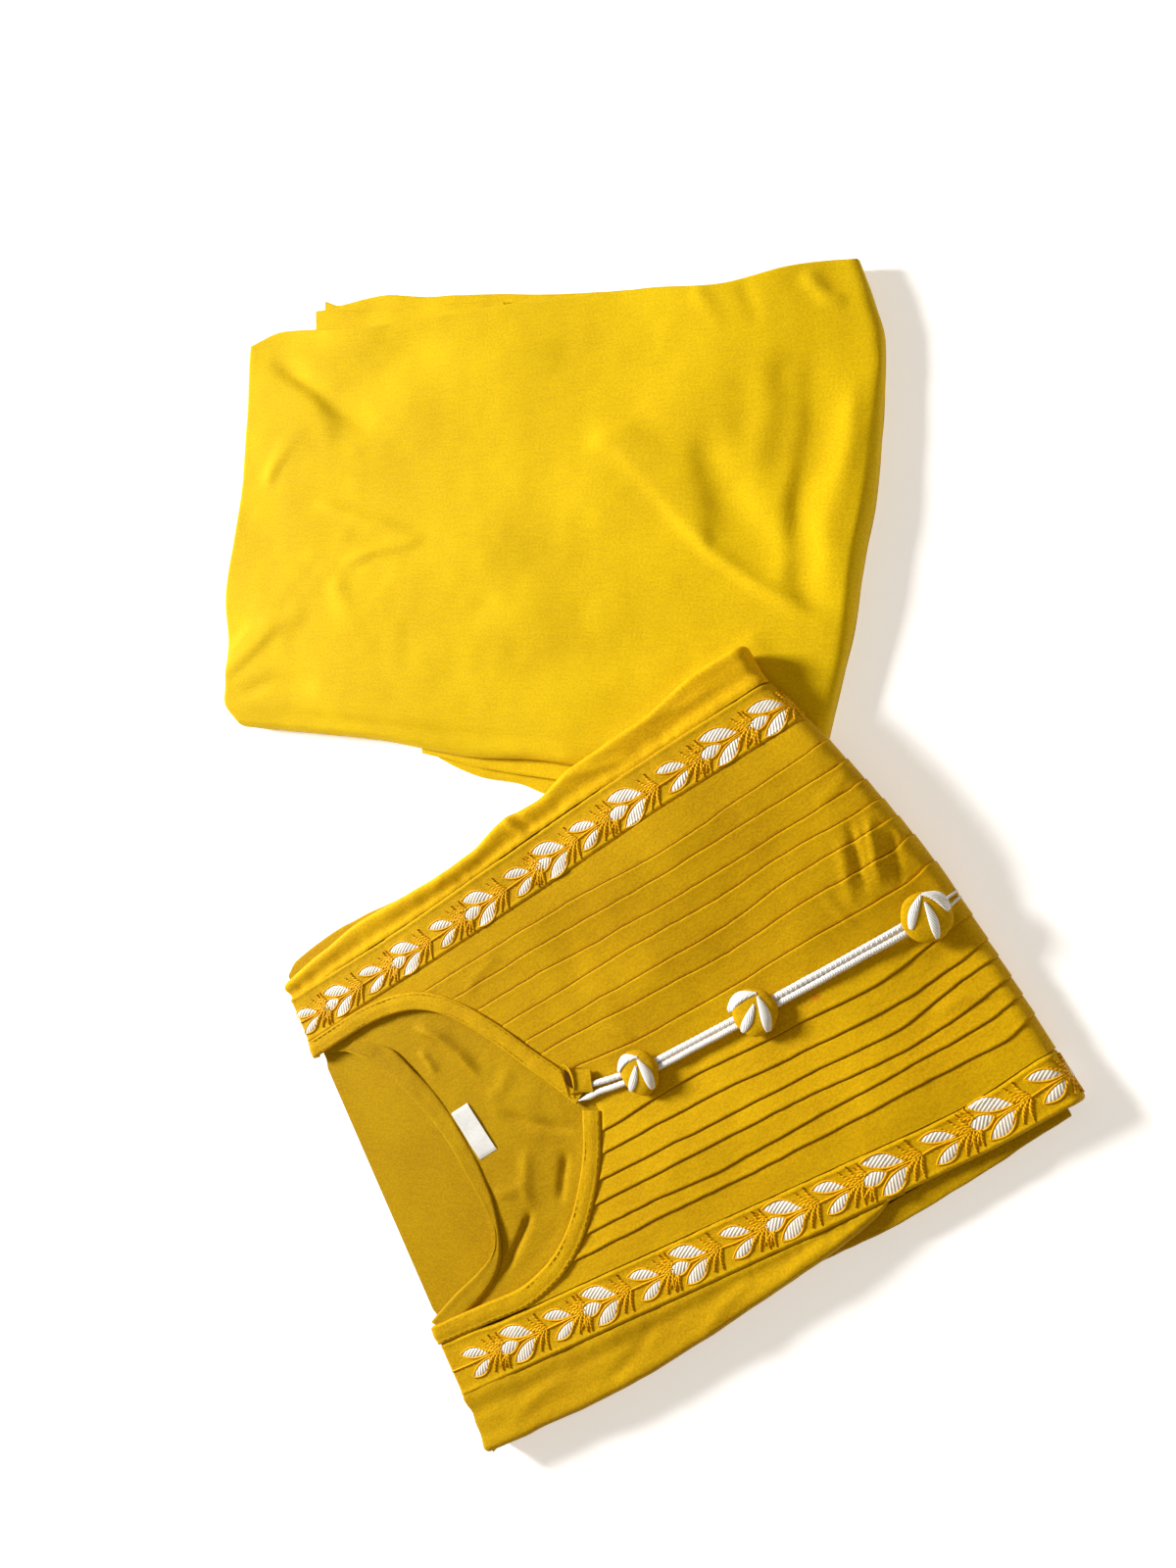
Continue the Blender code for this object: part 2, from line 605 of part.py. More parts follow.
def kurta():
    kurta_layers()
    back_panel()
    back_facing()
    label()
    tucked_panel("kurta_front_tucks_upper", UPPER_TUCKS, NECK_UPPER, 1, UPPER_BAND_IN, UPPER_SECTIONS)
    tucked_panel("kurta_front_tucks_lower", LOWER_TUCKS, NECK_LOWER, -1, LOWER_BAND_IN, LOWER_SECTIONS)
    band("kurta_border_upper", UPPER_BAND_IN, UPPER_BAND_OUT, 1)
    band("kurta_border_lower", LOWER_BAND_IN, LOWER_BAND_OUT, -1)
    side_panel("kurta_side_upper", UPPER_BAND_OUT, UPPER_EDGE, 1, whole_stations(125.0))
    lower_side = shoulder_stations() + [-105.0, -75.0] + flat_stations(-45.0, 60.0) + [69.0, LOWER_SIDE_END]
    side_panel("kurta_side_lower", LOWER_BAND_OUT, LOWER_EDGE, -1, lower_side)
    neck_facing("kurta_neck_facing_upper", NECK_UPPER, 1)
    neck_facing("kurta_neck_facing_lower", NECK_LOWER, -1)
    neck_tab()
    sleeve_fold("kurta_sleeve_upper", UPPER_SLEEVE, lambda a: smooth_at(UPPER_EDGE, a) + GAP, UPPER_SLEEVE_Z)
    sleeve_fold("kurta_sleeve_lower", LOWER_SLEEVE, lambda a: smooth_at(LOWER_SLEEVE_IN, a), LOWER_SLEEVE_Z)
    cord("kurta_cord_upper", 1)
    cord("kurta_cord_lower", -1)
    for number, a in enumerate(BUTTONS, 1):
        button(number, a)


def pant_place(u, v):
    """A place on the pant's footprint, u from left to right and v from bottom to top, from its four edges."""
    bottom, top = curve_at(PANT_BOTTOM, u), curve_at(PANT_TOP_EDGE, u)
    left, right = curve_at(PANT_LEFT, v), curve_at(PANT_RIGHT, v)
    front = (1 - u) * np.array(PANT_BOTTOM[0], float) + u * np.array(PANT_BOTTOM[-1], float)
    back = (1 - u) * np.array(PANT_TOP_EDGE[0], float) + u * np.array(PANT_TOP_EDGE[-1], float)
    flat = (1 - v) * front + v * back
    return (1 - v) * bottom + v * top + (1 - u) * left + u * right - flat


def pant_point(u, v, insets, z):
    """The same, drawn in from the left, right, bottom and top edges by the insets."""
    left, right, bottom, top = insets
    u = left / PANT_LENGTH + u * (1 - (left + right) / PANT_LENGTH)
    v = bottom / PANT_WIDTH + v * (1 - (bottom + top) / PANT_WIDTH)
    x, y = pant_place(u, v)
    return (x + PANT_MIDDLE[0], y + PANT_MIDDLE[1], z)


def pant_layers():
    """The pant's hidden layers as one body, with the folded edges of its layers round the side."""
    # height, insets from the left, right, bottom and top edges
    levels = (
        (10.1, (2.4, 3.2, 3.4, 2.4)), (9.4, (1.0, 2.4, 2.8, 1.0)), (8.4, (0.3, 2.1, 2.4, 0.3)),
        (7.5, (0.6, 2.1, 2.2, 0.6)), (7.3, (0.9, 2.1, 0.9, 0.9)), (6.9, (2.0, 2.1, 0.4, 1.2)),
        (5.6, (0.7, 2.1, 0.3, 0.4)), (4.4, (0.3, 2.1, 0.8, 0.6)), (3.0, (0.9, 2.3, 1.6, 1.6)),
        (2.2, (1.9, 0.9, 0.5, 0.6)), (1.4, (0.6, 0.4, 0.3, 0.4)), (0.6, (0.9, 0.8, 0.8, 0.8)),
    )
    us, vs = np.linspace(0, 1, 13), np.linspace(0, 1, 9)
    top = [[pant_point(u, v, (3.4, 4.2, 4.4, 3.4), PANT_CORE_TOP) for v in vs] for u in us]
    bottom = [[pant_point(u, v, (2.6, 2.6, 2.6, 2.6), 0.0) for v in vs] for u in us]
    border = rim(len(us), len(vs))
    rings = [[pant_point(us[i], vs[j], insets, z) for i, j in border] for z, insets in levels]
    return block("pant_folded_layers", top, rings, bottom, PANT_COLOUR)


def pant_relief(x, y):
    """Height of the main creases at a place of the sheet, from its middle."""
    height = 0.0
    for start, end, rise, width in PANT_FOLDS:
        start, end = np.array(start, float), np.array(end, float)
        along = end - start
        t = np.clip(((x, y) - start) @ along / (along @ along), 0.0, 1.0)
        away = math.hypot(*((x, y) - start - t * along))
        height += rise * math.exp(-((away / width) ** 2))
    return min(height, PANT_HEIGHT - PANT_TOP)


def turned_edge(radius, drop, steps):
    """Rows of a sheet's turned edge, from flat to hanging: inset, drop, and the way the wall faces."""
    rows = []
    for k in range(steps + 1):
        turn = math.pi / 2 * k / steps
        out, up = math.sin(turn), math.cos(turn)
        rows.append((radius * (1 - out), radius * (1 - up), out, up))
    return rows + [(0.0, drop, 1.0, 0.0)]


def pant_sheet():
    """The upper leg: the sheet on top, turned down over the right and bottom folds."""
    left, right = turned_edge(2.4, 3.2, 2), turned_edge(6.0, 10.6, 4)
    bottom, top = turned_edge(5.0, 6.0, 4), turned_edge(2.4, 3.2, 2)
    flat = (0.0, 0.0, 0.0, 1.0)
    columns = [("left", row) for row in left[::-1]]
    columns += [(share, flat) for share in np.linspace(0, 1, 20)[1:-1]]
    columns += [("right", row) for row in right]
    lines = [("bottom", row) for row in bottom[::-1]]
    lines += [(share, flat) for share in np.linspace(0, 1, 17)[1:-1]]
    lines += [("top", row) for row in top]
    grids = []
    for wall in (0.0, PANT_WALL):
        grid = []
        for cplace, (cin, cdrop, cout, cup) in columns:
            row = []
            for lplace, (lin, ldrop, lout, lup) in lines:
                insets = [left[0][0], right[0][0], bottom[0][0], top[0][0]]
                u = {"left": 0.0, "right": 1.0}.get(cplace, cplace)
                v = {"bottom": 0.0, "top": 1.0}.get(lplace, lplace)
                if cplace in ("left", "right"):
                    insets[0 if cplace == "left" else 1] = cin + wall * cout
                if lplace in ("bottom", "top"):
                    insets[2 if lplace == "bottom" else 3] = lin + wall * lout
                sides = max(cdrop, ldrop)
                hangs = (cup == 0.0 and cdrop == sides) or (lup == 0.0 and ldrop == sides)
                x, y, _ = pant_point(u, v, insets, 0.0)
                relief = pant_relief(x - PANT_MIDDLE[0], y - PANT_MIDDLE[1]) * (1 - min(sides / 2.0, 1.0))
                up = 0.0 if hangs else min(cup, lup)
                row.append((x, y, PANT_TOP + relief - sides - wall * up))
            grid.append(row)
        grids.append(grid)
    return slab("pant_upper_leg", *grids, PANT_COLOUR)


def pant_layer(name, edge, inside, z):
    """An under layer that shows past the sheet, from the packet's side to its own edge."""
    low, high = z
    xs = np.linspace(edge[0][0], edge[-1][0], 10)
    grids = []
    for height, tuck_in in ((high, 0.7), ((low + high) / 2, 0.0), (low, 0.7)):
        lines = []
        for x in xs:
            within, outside = inside(x), smooth_at(edge, x)
            way = 1.0 if outside > within else -1.0
            outside = within + way * max(abs(outside - within) - tuck_in, 0.4)
            lines.append([(x + PANT_MIDDLE[0], y + PANT_MIDDLE[1], height) for y in (within, outside)])
        grids.append(np.array(lines))
    ring = [grids[1][i, j] for i, j in rim(len(xs), 2)]
    return block(name, grids[0], [ring], grids[2], PANT_COLOUR)


def pant():
    def above(x):
        return smooth_at(PANT_TOP_EDGE, x) + 0.5

    def below(x):
        return smooth_at(PANT_BOTTOM, x) - 0.5

    pant_layers()
    pant_sheet()
    pant_layer("pant_under_leg_hem_front", UNDER_HEM_FRONT, above, (7.7, 9.9))
    pant_layer("pant_under_leg_hem_back", UNDER_HEM_BACK, above, (4.6, 6.9))
    pant_layer("pant_lower_layer_front", LOWER_LAYER_FRONT, below, (4.8, 7.1))
    pant_layer("pant_lower_layer_back", LOWER_LAYER_BACK, below, (1.2, 3.6))


def main():
    for old in list(bpy.data.objects):
        bpy.data.objects.remove(old, do_unlink=True)
    kurta()
    pant()


main()
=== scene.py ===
"""A folded kurta and pant: fine cloth, tucks, embroidery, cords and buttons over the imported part.

The kurta's front is laid out flat, by length along it (s), place across it (b) and height over its skin (h).
It is then turned over the shoulder edge and round the bottom fold, and bent up where it lies on the pant.
Lengths inside are in millimetres, and meshes are in metres.
"""

import math

import bpy
import numpy as np
from mathutils import Matrix


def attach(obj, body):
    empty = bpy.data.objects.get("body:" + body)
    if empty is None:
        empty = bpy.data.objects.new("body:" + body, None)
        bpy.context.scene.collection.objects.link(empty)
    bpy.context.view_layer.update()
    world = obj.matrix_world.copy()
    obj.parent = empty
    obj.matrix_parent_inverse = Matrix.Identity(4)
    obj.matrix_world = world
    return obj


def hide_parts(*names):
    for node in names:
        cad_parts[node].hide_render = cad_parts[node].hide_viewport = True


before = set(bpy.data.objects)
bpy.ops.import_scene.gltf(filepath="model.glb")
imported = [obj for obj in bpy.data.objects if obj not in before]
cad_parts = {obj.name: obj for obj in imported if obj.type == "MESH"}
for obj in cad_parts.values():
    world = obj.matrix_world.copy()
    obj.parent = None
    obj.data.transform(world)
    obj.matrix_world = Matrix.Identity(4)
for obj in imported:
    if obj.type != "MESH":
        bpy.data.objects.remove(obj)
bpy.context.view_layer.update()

bl_info = {
    "name": "Folded kurta and pant",
    "version": (1, 0, 0),
    "blender": (4, 5, 0),
    "location": "View3D > Sidebar > Kurta set",
    "description": "Models a folded kurta and pant on their packed part",
    "category": "Object",
}

MM = 0.001
WAVE_SCALE = 0.314  # of a wave texture whose ridges lie a metre apart

# The kurta's packet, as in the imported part
KURTA_NECK = (7.0, -125.0)
KURTA_TURN = math.radians(29.9)
KURTA_HEIGHT = 14.5
KURTA_LEFT = -137.0  # shoulder edge
FOLD_END = 192.0
FOLD_SKEW = 21.0  # how far the fold runs back at the upper corner
FOLD_CORNER = 121.0
FOLD_RADIUS = KURTA_HEIGHT / 2
FOLD_LIP = 6.0  # what goes on under the packet
SHOULDER_RADIUS = 3.0
SHOULDER_TURN = 0.8 * math.pi
SHOULDER_START = KURTA_LEFT + SHOULDER_RADIUS
SIDE_RADIUS = 3.0
PANT_CORNER = (114.0, 13.9)
PANT_EDGES_FACE = ((-0.134, -0.991), (0.982, -0.191))
LIFT = 14.1  # of the kurta, where it lies on the pant
LIFT_MARGIN = 8.0
LIFT_RAMP = 100.0

# Skins of the front's pieces, as heights over the packet's top
BAND_SKIN = -0.5
SIDE_SKIN = -0.6
TUCK_LOW = -0.8
TUCK_EDGE = 0.15
# Thickness of each piece's cloth
CLOTH_WALL = 0.7
FACING_WALL = SLEEVE_WALL = 0.5
LABEL_WALL, TAB_WALL = 0.4, 0.55
PANT_WALL, PANT_LAYER_WALL = 0.9, 0.6
LEAF_WALL, NEEDLE_WALL, PETAL_WALL = 0.45, 0.4, 0.6
# Length of a stitch and the space to the next, height of its arch and thread's radius
TUCK_STITCH, TUCK_STITCH_ARCH, TUCK_STITCH_RADIUS = (3.0, 0.35), 0.12, 0.2
FACING_STITCH, FACING_STITCH_ARCH, FACING_STITCH_RADIUS = (2.2, 1.2), 0.14, 0.16
FACING_STITCH_INSETS, FACING_STITCH_HEIGHT = (1.5, 7.9), 0.46
GOLD_RADIUS = 0.42
SEAM_ROOM = 0.15
SEAM_LAP = 1.3  # over the seam at the shoulder, from LAP_START on
LAP_START, LAP_RUN = -100.0, 15.0

FACING_WIDTH = 9.2
FACING_COVER = 1.0
NECK_UPPER = (
    (-134, 84.3), (-104, 84.6), (-87, 83), (-72, 79), (-60, 72), (-47, 58), (-37, 43), (-28, 27), (-19, 12),
    (-12, -2),
)
NECK_LOWER = (
    (-134, -61.5), (-105, -62.8), (-83, -64), (-68, -61.5), (-56, -57), (-44, -49.5), (-30, -36), (-19, -22),
    (-10, -5.5),
)
# The back's edge from one shoulder to the other, round its neckline, as across and along
BACK_EDGE = (
    (92, -131), (84, -131), (81, -122), (79, -118), (72, -111), (62, -102), (50, -96), (39, -91), (23, -87),
    (3, -84), (-19, -83), (-36, -85), (-47, -93), (-56, -110), (-60, -124), (-63, -131), (-72, -131),
)
BACK_FACING_INNER = (
    (-117, 80), (-104, 66), (-97, 50), (-90, 31), (-85, 12.5), (-83, -6), (-81.5, -22), (-81, -34), (-86, -43),
    (-97, -48), (-117, -53), (-135, -59),
)
BACK_FACING_OUTER = (
    (-110, 81), (-92, 67), (-86, 53), (-80, 37), (-76.5, 20), (-74.4, -4), (-75, -19), (-77.5, -30), (-83, -45),
    (-91, -54), (-110, -62), (-130, -66),
)
BACK_PANEL_END = 12.0
BACK_PANEL_Z = 11.9
BACK_FACING_Z = 13.1
TAB_Z = 16.1

# Tuck edges across the front: at the neck, near it, at the middle, before the fold and at the fold
TUCK_AT = (0.0, 40.0, 95.0, 137.0, 175.0, 190.0)
UPPER_TUCKS = (
    (13.2, 9.6, 9.8, 10.7, 10.5, 13.6), (27.1, 25.1, 23.9, 25.3, 25, 27.6), (35.7, 35.3, 34.5, 37.4, 37, 38),
    (48.1, 48.4, 46.6, 47.6, 46.4, 47.6), (61.1, 58.8, 56.5, 56.4, 56.6, 58.6), (72.2, 70.8, 67.9, 68.1, 68, 70.6),
    (83.3, 81.5, 77.1, 78.7, 80.3, 82.3),
)
LOWER_TUCKS = (
    (-18.4, -16.5, -18.3, -19.7, -15.3, -13.3), (-27.5, -27.6, -29.5, -31.2, -28.1, -25.5),
    (-37.7, -38.5, -39, -40.5, -34.5, -33), (-46.6, -46.9, -47.3, -49.1, -45.6, -42.6),
    (-56.3, -58.2, -56.4, -55.6, -54.2, -51.2), (-64.3, -65, -65.1, -64.2, -64.4, -60.6),
)
CENTRE_SEAM = -3.5
# Columns of points across each strip: offsets at its start, shares between, and offsets from its end
STRIP_START, FIRST_STRIP_START = (-0.3, 0.3, 0.9, 1.6, 2.3), (0.0, 1.2, 2.3)
STRIP_MIDDLE = (0.36, 0.5, 0.64)
STRIP_END = (1.8, 1.1, 0.6, 0.3, 0.12, 0.0)
BAND_EDGE_SHARES = (0.0, 0.012, 0.03, 0.055, 0.08, 0.11)

UPPER_BAND_IN = ((-137, 94), (185, 94))
UPPER_BAND_OUT = ((-137, 119), (-50, 118), (185, 118))
LOWER_BAND_IN = (
    (-137, -71.6), (-109, -73), (-83, -73.9), (2, -76.3), (97, -79), (143, -80), (184, -76),
)
LOWER_BAND_OUT = ((-137, -97), (-60, -98), (2, -99), (97, -100), (143, -100), (184, -98))

# Of the front's upper side (1) and lower side (-1)
NECKS = {1: NECK_UPPER, -1: NECK_LOWER}
TUCKS = {1: UPPER_TUCKS, -1: LOWER_TUCKS}
BANDS = {1: (UPPER_BAND_IN, UPPER_BAND_OUT), -1: (LOWER_BAND_IN, LOWER_BAND_OUT)}
SIDE_NAMES = {1: "upper", -1: "lower"}

UPPER_EDGE = (
    (-137, 128), (-110, 131), (-80, 133.5), (-55, 132), (-18, 129), (0, 129), (25, 133), (45, 131),
    (70, 135.5), (110, 136), (147, 140), (172, 139),
)
LOWER_EDGE = (
    (-137, -124.5), (-60, -124), (-19, -120.5), (20, -116), (40, -113), (60, -110.8), (75, -108.2),
    (88, -105.2), (98, -102.4), (106, -100.6), (192, -100.5),
)
LOWER_LAYERS_EDGE = (
    (-137, -124.5), (-60, -124), (-19, -120.5), (30, -114.5), (58, -112), (100, -110.5), (150, -105.5),
    (184, -101.5),
)
LOWER_SIDE_END = 107.0
UPPER_SLEEVE = ((-136, 133), (-128, 137.5), (-104, 139), (-80, 137.5), (-55, 133.5))
LOWER_SLEEVE = ((44, -106), (60, -109.2), (76, -111.2), (100, -110.5), (150, -105.5), (183, -101.5))
LOWER_SLEEVE_IN = ((44, -103.0), (75, -101.5), (84, -100.0), (90, -98.2), (183, -97.5))
# Edge, inner line and height of each sleeve's part that shows
SLEEVES = {1: (UPPER_SLEEVE, UPPER_EDGE, 6.3), -1: (LOWER_SLEEVE, LOWER_SLEEVE_IN, 9.6)}

# The cords' middle line and the space between their middles
CORD_LINE = (
    (-10, 0.3), (0, 0.3), (12, -1.6), (25, -3.2), (40, -4.0), (89, -4.9), (145, -5.4), (176, -5.4), (195, -3.0),
)
CORD_PITCH = ((-10, 2.6), (0, 4.4), (14, 4.0), (34, 3.1), (200, 3.1))
CORD_HEIGHT = 0.35
BUTTONS = (26.3, 89.0, 176.0)
BUTTON_RADIUS = 10.7
BUTTON_BASE = 16.45
BUTTON_LENGTHS = (0.88, 1.0, 1.0)  # shares of the round shape
# Petals of each button, from its middle: start, end, bow and width
PETALS = (
    (
        ((3.6, 6.2), (-9.2, 5.0), -2.6, 4.6), ((1.2, 3.0), (-7.8, -5.8), 0.5, 3.9),
        ((3.2, 5.2), (2.8, -9.6), 1.1, 4.7),
    ),
    (
        ((5.7, 6.7), (-10.6, 6.0), -2.4, 5.0), ((2.4, 2.8), (-9.6, -5.2), 0.5, 4.2),
        ((5.6, 5.2), (1.5, -10.4), 1.1, 4.7),
    ),
    (
        ((3.6, 9.0), (-7.8, -1.4), -0.8, 3.9), ((3.4, 5.6), (-0.4, -9.8), 0.8, 3.9),
        ((3.8, 9.4), (9.9, -2.0), 2.4, 4.5),
    ),
)

# Middles of the embroidered sprays along the borders, and whether each is large, a pair or small
UPPER_SPRAYS = (
    (-130, "small"), (-107, "pair"), (-84, "small"), (-60, "large"), (-34, "small"), (-8, "large"), (17, "small"),
    (39, "large"), (61, "small"), (87, "large"), (113, "small"), (139, "large"), (164, "pair"), (188, "small"),
)
LOWER_SPRAYS = (
    (-119, "small"), (-94, "large"), (-70, "small"), (-45, "large"), (-20, "small"), (5, "large"), (30, "small"),
    (55, "large"), (79, "small"), (105, "large"), (131, "small"), (157, "large"), (182, "small"), (206, "large"),
)

SPRAYS = {1: UPPER_SPRAYS, -1: LOWER_SPRAYS}
# Size of each kind of spray, and the spread and width of its side leaves
SPRAY_KINDS = {"large": (1.04, 7.4, 5.6), "pair": (1.0, 7.4, 5.6), "small": (0.88, 6.6, 5.0)}
TOP_NEEDLES = ((4.6, 5.6), (7.4, 4.2), (2.4, 6.8))  # reach and rise
SPRIG_NEEDLES = ((0.0, 9.2, 6.0), (1.4, 6.6, 8.0), (2.8, 3.6, 8.8))  # step, reach and rise
STEM_SHIFT = {1: -2.2, -1: 0.5}

# The pant, from its middle
PANT_MIDDLE = (-36.0, 152.9)
PANT_LENGTH, PANT_WIDTH = 355.0, 235.0
PANT_TOP = 13.8
PANT_BOTTOM = (
    (-172, -93), (-125, -99), (-82, -105), (-54, -111), (-22, -117), (6, -119), (37, -124), (95, -132),
    (143, -138),
)
PANT_TOP_EDGE = (
    (-172, 127), (-152, 132), (-128, 129), (-100, 124), (-46, 121), (-4, 119), (35, 115), (71, 112),
    (112, 106), (145, 108), (174, 105),
)
PANT_LEFT = (
    (-172, -93), (-184, -77), (-183, -50), (-186, -20), (-179, 23), (-175, 59), (-172, 99), (-172, 127),
)
PANT_RIGHT = (
    (143, -138), (154, -118), (158, -102), (168, -62), (173, -32), (178, -8), (182, 28), (184, 66), (180, 85),
    (174, 105),
)
UNDER_HEM_FRONT = ((-129, 141), (-115, 139), (-95, 134), (-55, 129.5), (-10, 122.5))
UNDER_HEM_BACK = ((-125, 147), (-115, 143), (-95, 143.5), (-55, 136), (-15, 129), (25, 121), (70, 114.5))
LOWER_LAYER_FRONT = ((-58, -112.5), (-41, -117), (-22, -122), (6, -127), (35, -131), (62, -131))
LOWER_LAYER_BACK = ((-50, -115), (-41, -120), (-22, -127), (-4, -130), (16, -137), (40, -139), (80, -138))
HEM_STEP = 0.22
# Layers that show past the sheet: name, edge, the sheet's edge there, room beside it, height and step of a hem
PANT_LAYERS = (
    ("under_leg_hem_front", UNDER_HEM_FRONT, PANT_TOP_EDGE, 0.3, 9.7, HEM_STEP),
    ("under_leg_hem_back", UNDER_HEM_BACK, PANT_TOP_EDGE, 0.3, 6.7, HEM_STEP),
    ("lower_layer_front", LOWER_LAYER_FRONT, PANT_BOTTOM, -0.3, 6.9, 0.0),
    ("lower_layer_back", LOWER_LAYER_BACK, PANT_BOTTOM, -0.3, 3.4, 0.0),
)
# How far the sheet's turned edges reach in and hang down, and how many rows turn them
SHEET_EDGES = {"left": (2.4, 3.2, 5), "right": (6.0, 10.6, 8), "bottom": (5.0, 6.0, 7), "top": (2.4, 3.2, 5)}

# Sections of cloth, as places across it and heights
FACING_PROFILE = (
    (0.7, -2.1), (0.15, -1.5), (0.0, -0.8), (0.12, -0.1), (0.55, 0.4), (1.2, 0.65), (2.1, 0.6), (3.6, 0.85),
    (5.2, 0.85), (6.6, 0.6), (7.5, 0.4), (8.2, 0.5), (8.8, 0.3), (9.15, -0.25), (9.1, -0.8),
)
BACK_FACING_PROFILE = (
    (0.03, -1.2), (0.0, -0.7), (0.01, -0.1), (0.06, 0.35), (0.16, 0.5), (0.3, 0.3), (0.5, 0.35), (0.7, 0.3),
    (0.84, 0.3), (0.93, 0.15), (0.99, -0.25), (1.0, -0.6),
)
SLEEVE_PROFILE = (
    (-9.0, 0.0), (-1.6, 0.0), (-0.7, -0.1), (-0.2, -0.35), (0.0, -0.65), (-0.2, -0.95), (-0.8, -1.2), (-1.8, -1.3),
    (-2.2, -1.42), (-1.6, -1.55), (-0.9, -1.7), (-0.6, -1.95), (-0.8, -2.2), (-1.5, -2.4), (-9.0, -2.4),
)
HEM_PROFILE = (
    (-40.0, 0.0), (-14.0, 0.0), (-9.0, 0.0), (-7.0, 0.02), (-6.0, 0.05), (-3.0, 0.0), (-1.2, 0.0), (-0.4, -0.2),
    (0.0, -0.65), (-0.3, -1.1), (-1.1, -1.35), (-4.0, -1.4), (-6.0, -1.45),
)
# Heights of the kurta's hidden layers: the narrower upper part and the folded lower part
UPPER_LAYER_HEIGHTS = (9.0, 7.14)
LOWER_LAYER_HEIGHTS = (7.08, 0.15, 36)  # from, to and count
LAYERS_AT_FOLD = (-96.6, 135.1)  # across, from the lower side to the upper
# Folded layers of a packet's side, from and to a height, and how far in. The pant's are left, right, bottom, top
KURTA_LAYER_STEPS = ((0.1, 1.6, 0.6), (1.6, 3.1, 0.0), (3.1, 4.5, 0.9), (4.5, 5.8, 0.2), (5.8, 7.1, 0.8))
PANT_LAYER_STEPS = (
    ((0.1, 2.1, 0.4), (2.1, 3.7, 1.0), (3.7, 5.6, 0.2), (5.6, 7.2, 1.2), (7.2, 8.9, 0.3), (8.9, 10.3, 0.9)),
    ((0.1, 2.4, 0.2), (2.4, 5.0, 2.0), (5.0, 10.3, 2.2)),
    ((0.1, 1.4, 0.4), (1.4, 2.9, 1.4), (2.9, 4.6, 0.7), (4.6, 6.2, 0.2), (6.2, 7.4, 0.8), (7.4, 10.3, 2.4)),
    ((0.1, 2.0, 0.4), (2.0, 3.8, 1.2), (3.8, 5.6, 0.4), (5.6, 7.2, 1.0), (7.2, 8.9, 0.3), (8.9, 10.3, 1.0)),
)
LABEL_CORNERS = ((-76.0, 24.0), (-65.6, 24.5), (-72.4, -2.6), (-61.4, -2.0))
LABEL_SIZE = (10.6, 26.8)
TAB_CORNERS = ((-9.6, 17.6), (4.2, 9.0), (-12.2, 3.0), (0.2, -1.2))
TAB_SIZE = (12.0, 26.0)

# The kurta's cloth by place, with its brightness as a share of the kurta's colour: painted light on the upper side,
# and painted shade on the lower side, the sleeves, the hidden layers and the inside of the back
KURTA_CLOTHS = {
    "kurta cotton": 1.0, "kurta cotton painted shade inside": 0.77, "kurta cotton painted light upper side": 1.28, "kurta cotton painted shade side": 0.84,
}
# A small stain on the kurta: its place on the cut and its size in metres, and its colour
KURTA_STAIN = ((0.116, -0.012), (0.0032, 0.0018), (0.62, 0.13, 0.01))

# Creases, each with its line, height and width, and how much steeper one side is
FRONT_CREASES = (
    (((179, 46), (172, 30), (165, 14)), 1.0, 1.9, 0.4),
    (((171, 48), (165, 32), (158, 14)), -0.9, 2.0),
    (((184, 36), (179, 24), (173, 10)), -0.8, 1.9),
    (((163, 42), (157, 28), (150, 12)), 0.6, 2.2),
    (((142.5, 28), (145, 14), (147.5, 2.5)), 0.35, 2.4),
    (((183, 66), (172, 60), (160, 58)), 0.4, 2.6),
    (((184, -24), (174, -18), (160, -17)), 0.45, 2.4),
    (((14, 23), (24, 19), (31, 11)), 0.4, 2.0),
    (((60, 8), (76, 4), (92, 5)), 0.3, 3.0),
    (((186, -48), (172, -41), (155, -42)), 0.35, 2.4),
    (((-40, 70), (-30, 76), (-12, 80)), 0.35, 2.6),
)
UPPER_SIDE_CREASES = (
    (((27, 134), (29, 127), (34, 119)), 0.9, 2.4, 0.3),
    (((33, 134), (35, 127), (39, 120)), -0.7, 2.6),
    (((-70, 134), (-65, 132.5), (-60, 133)), -1.1, 1.1),
    (((-24, 129), (-16, 124), (-12, 119)), 0.6, 2.2),
    (((60, 134), (84, 126), (104, 122)), 0.6, 2.6),
    (((112, 136), (128, 130), (150, 127)), 0.5, 3.0),
)
LOWER_SIDE_CREASES = (
    (((-120, -118), (-96, -110), (-70, -106)), 0.6, 2.8),
    (((-62, -119), (-40, -112), (-24, -104)), -0.6, 2.6),
    (((-8, -117), (12, -109), (30, -104)), 0.6, 2.6),
    (((36, -112), (54, -107), (72, -102)), 0.4, 2.0),
)
BACK_CREASES = (
    (((-76, 72), (-65, 60), (-57.5, 46), (-53, 33)), 1.5, 2.6, 0.3),
    (((-78, 60), (-76, 53), (-74, 45)), 0.7, 1.9),
    (((-58, -34), (-72, -44), (-89, -55)), -1.1, 2.0, 0.3),
    (((-28, -18), (-36, -28), (-44, -39)), -0.9, 2.2),
    (((-54, 14), (-40, 1), (-19, -13)), -0.8, 2.6, 0.2),
    (((-74, -21), (-64, -23), (-54, -22)), 0.4, 2.6),
    (((-46, -8), (-56, -24), (-60, -34)), 0.6, 3.2),
    (((-34, 30), (-46, 22), (-56, 20)), 0.35, 3.6),
)
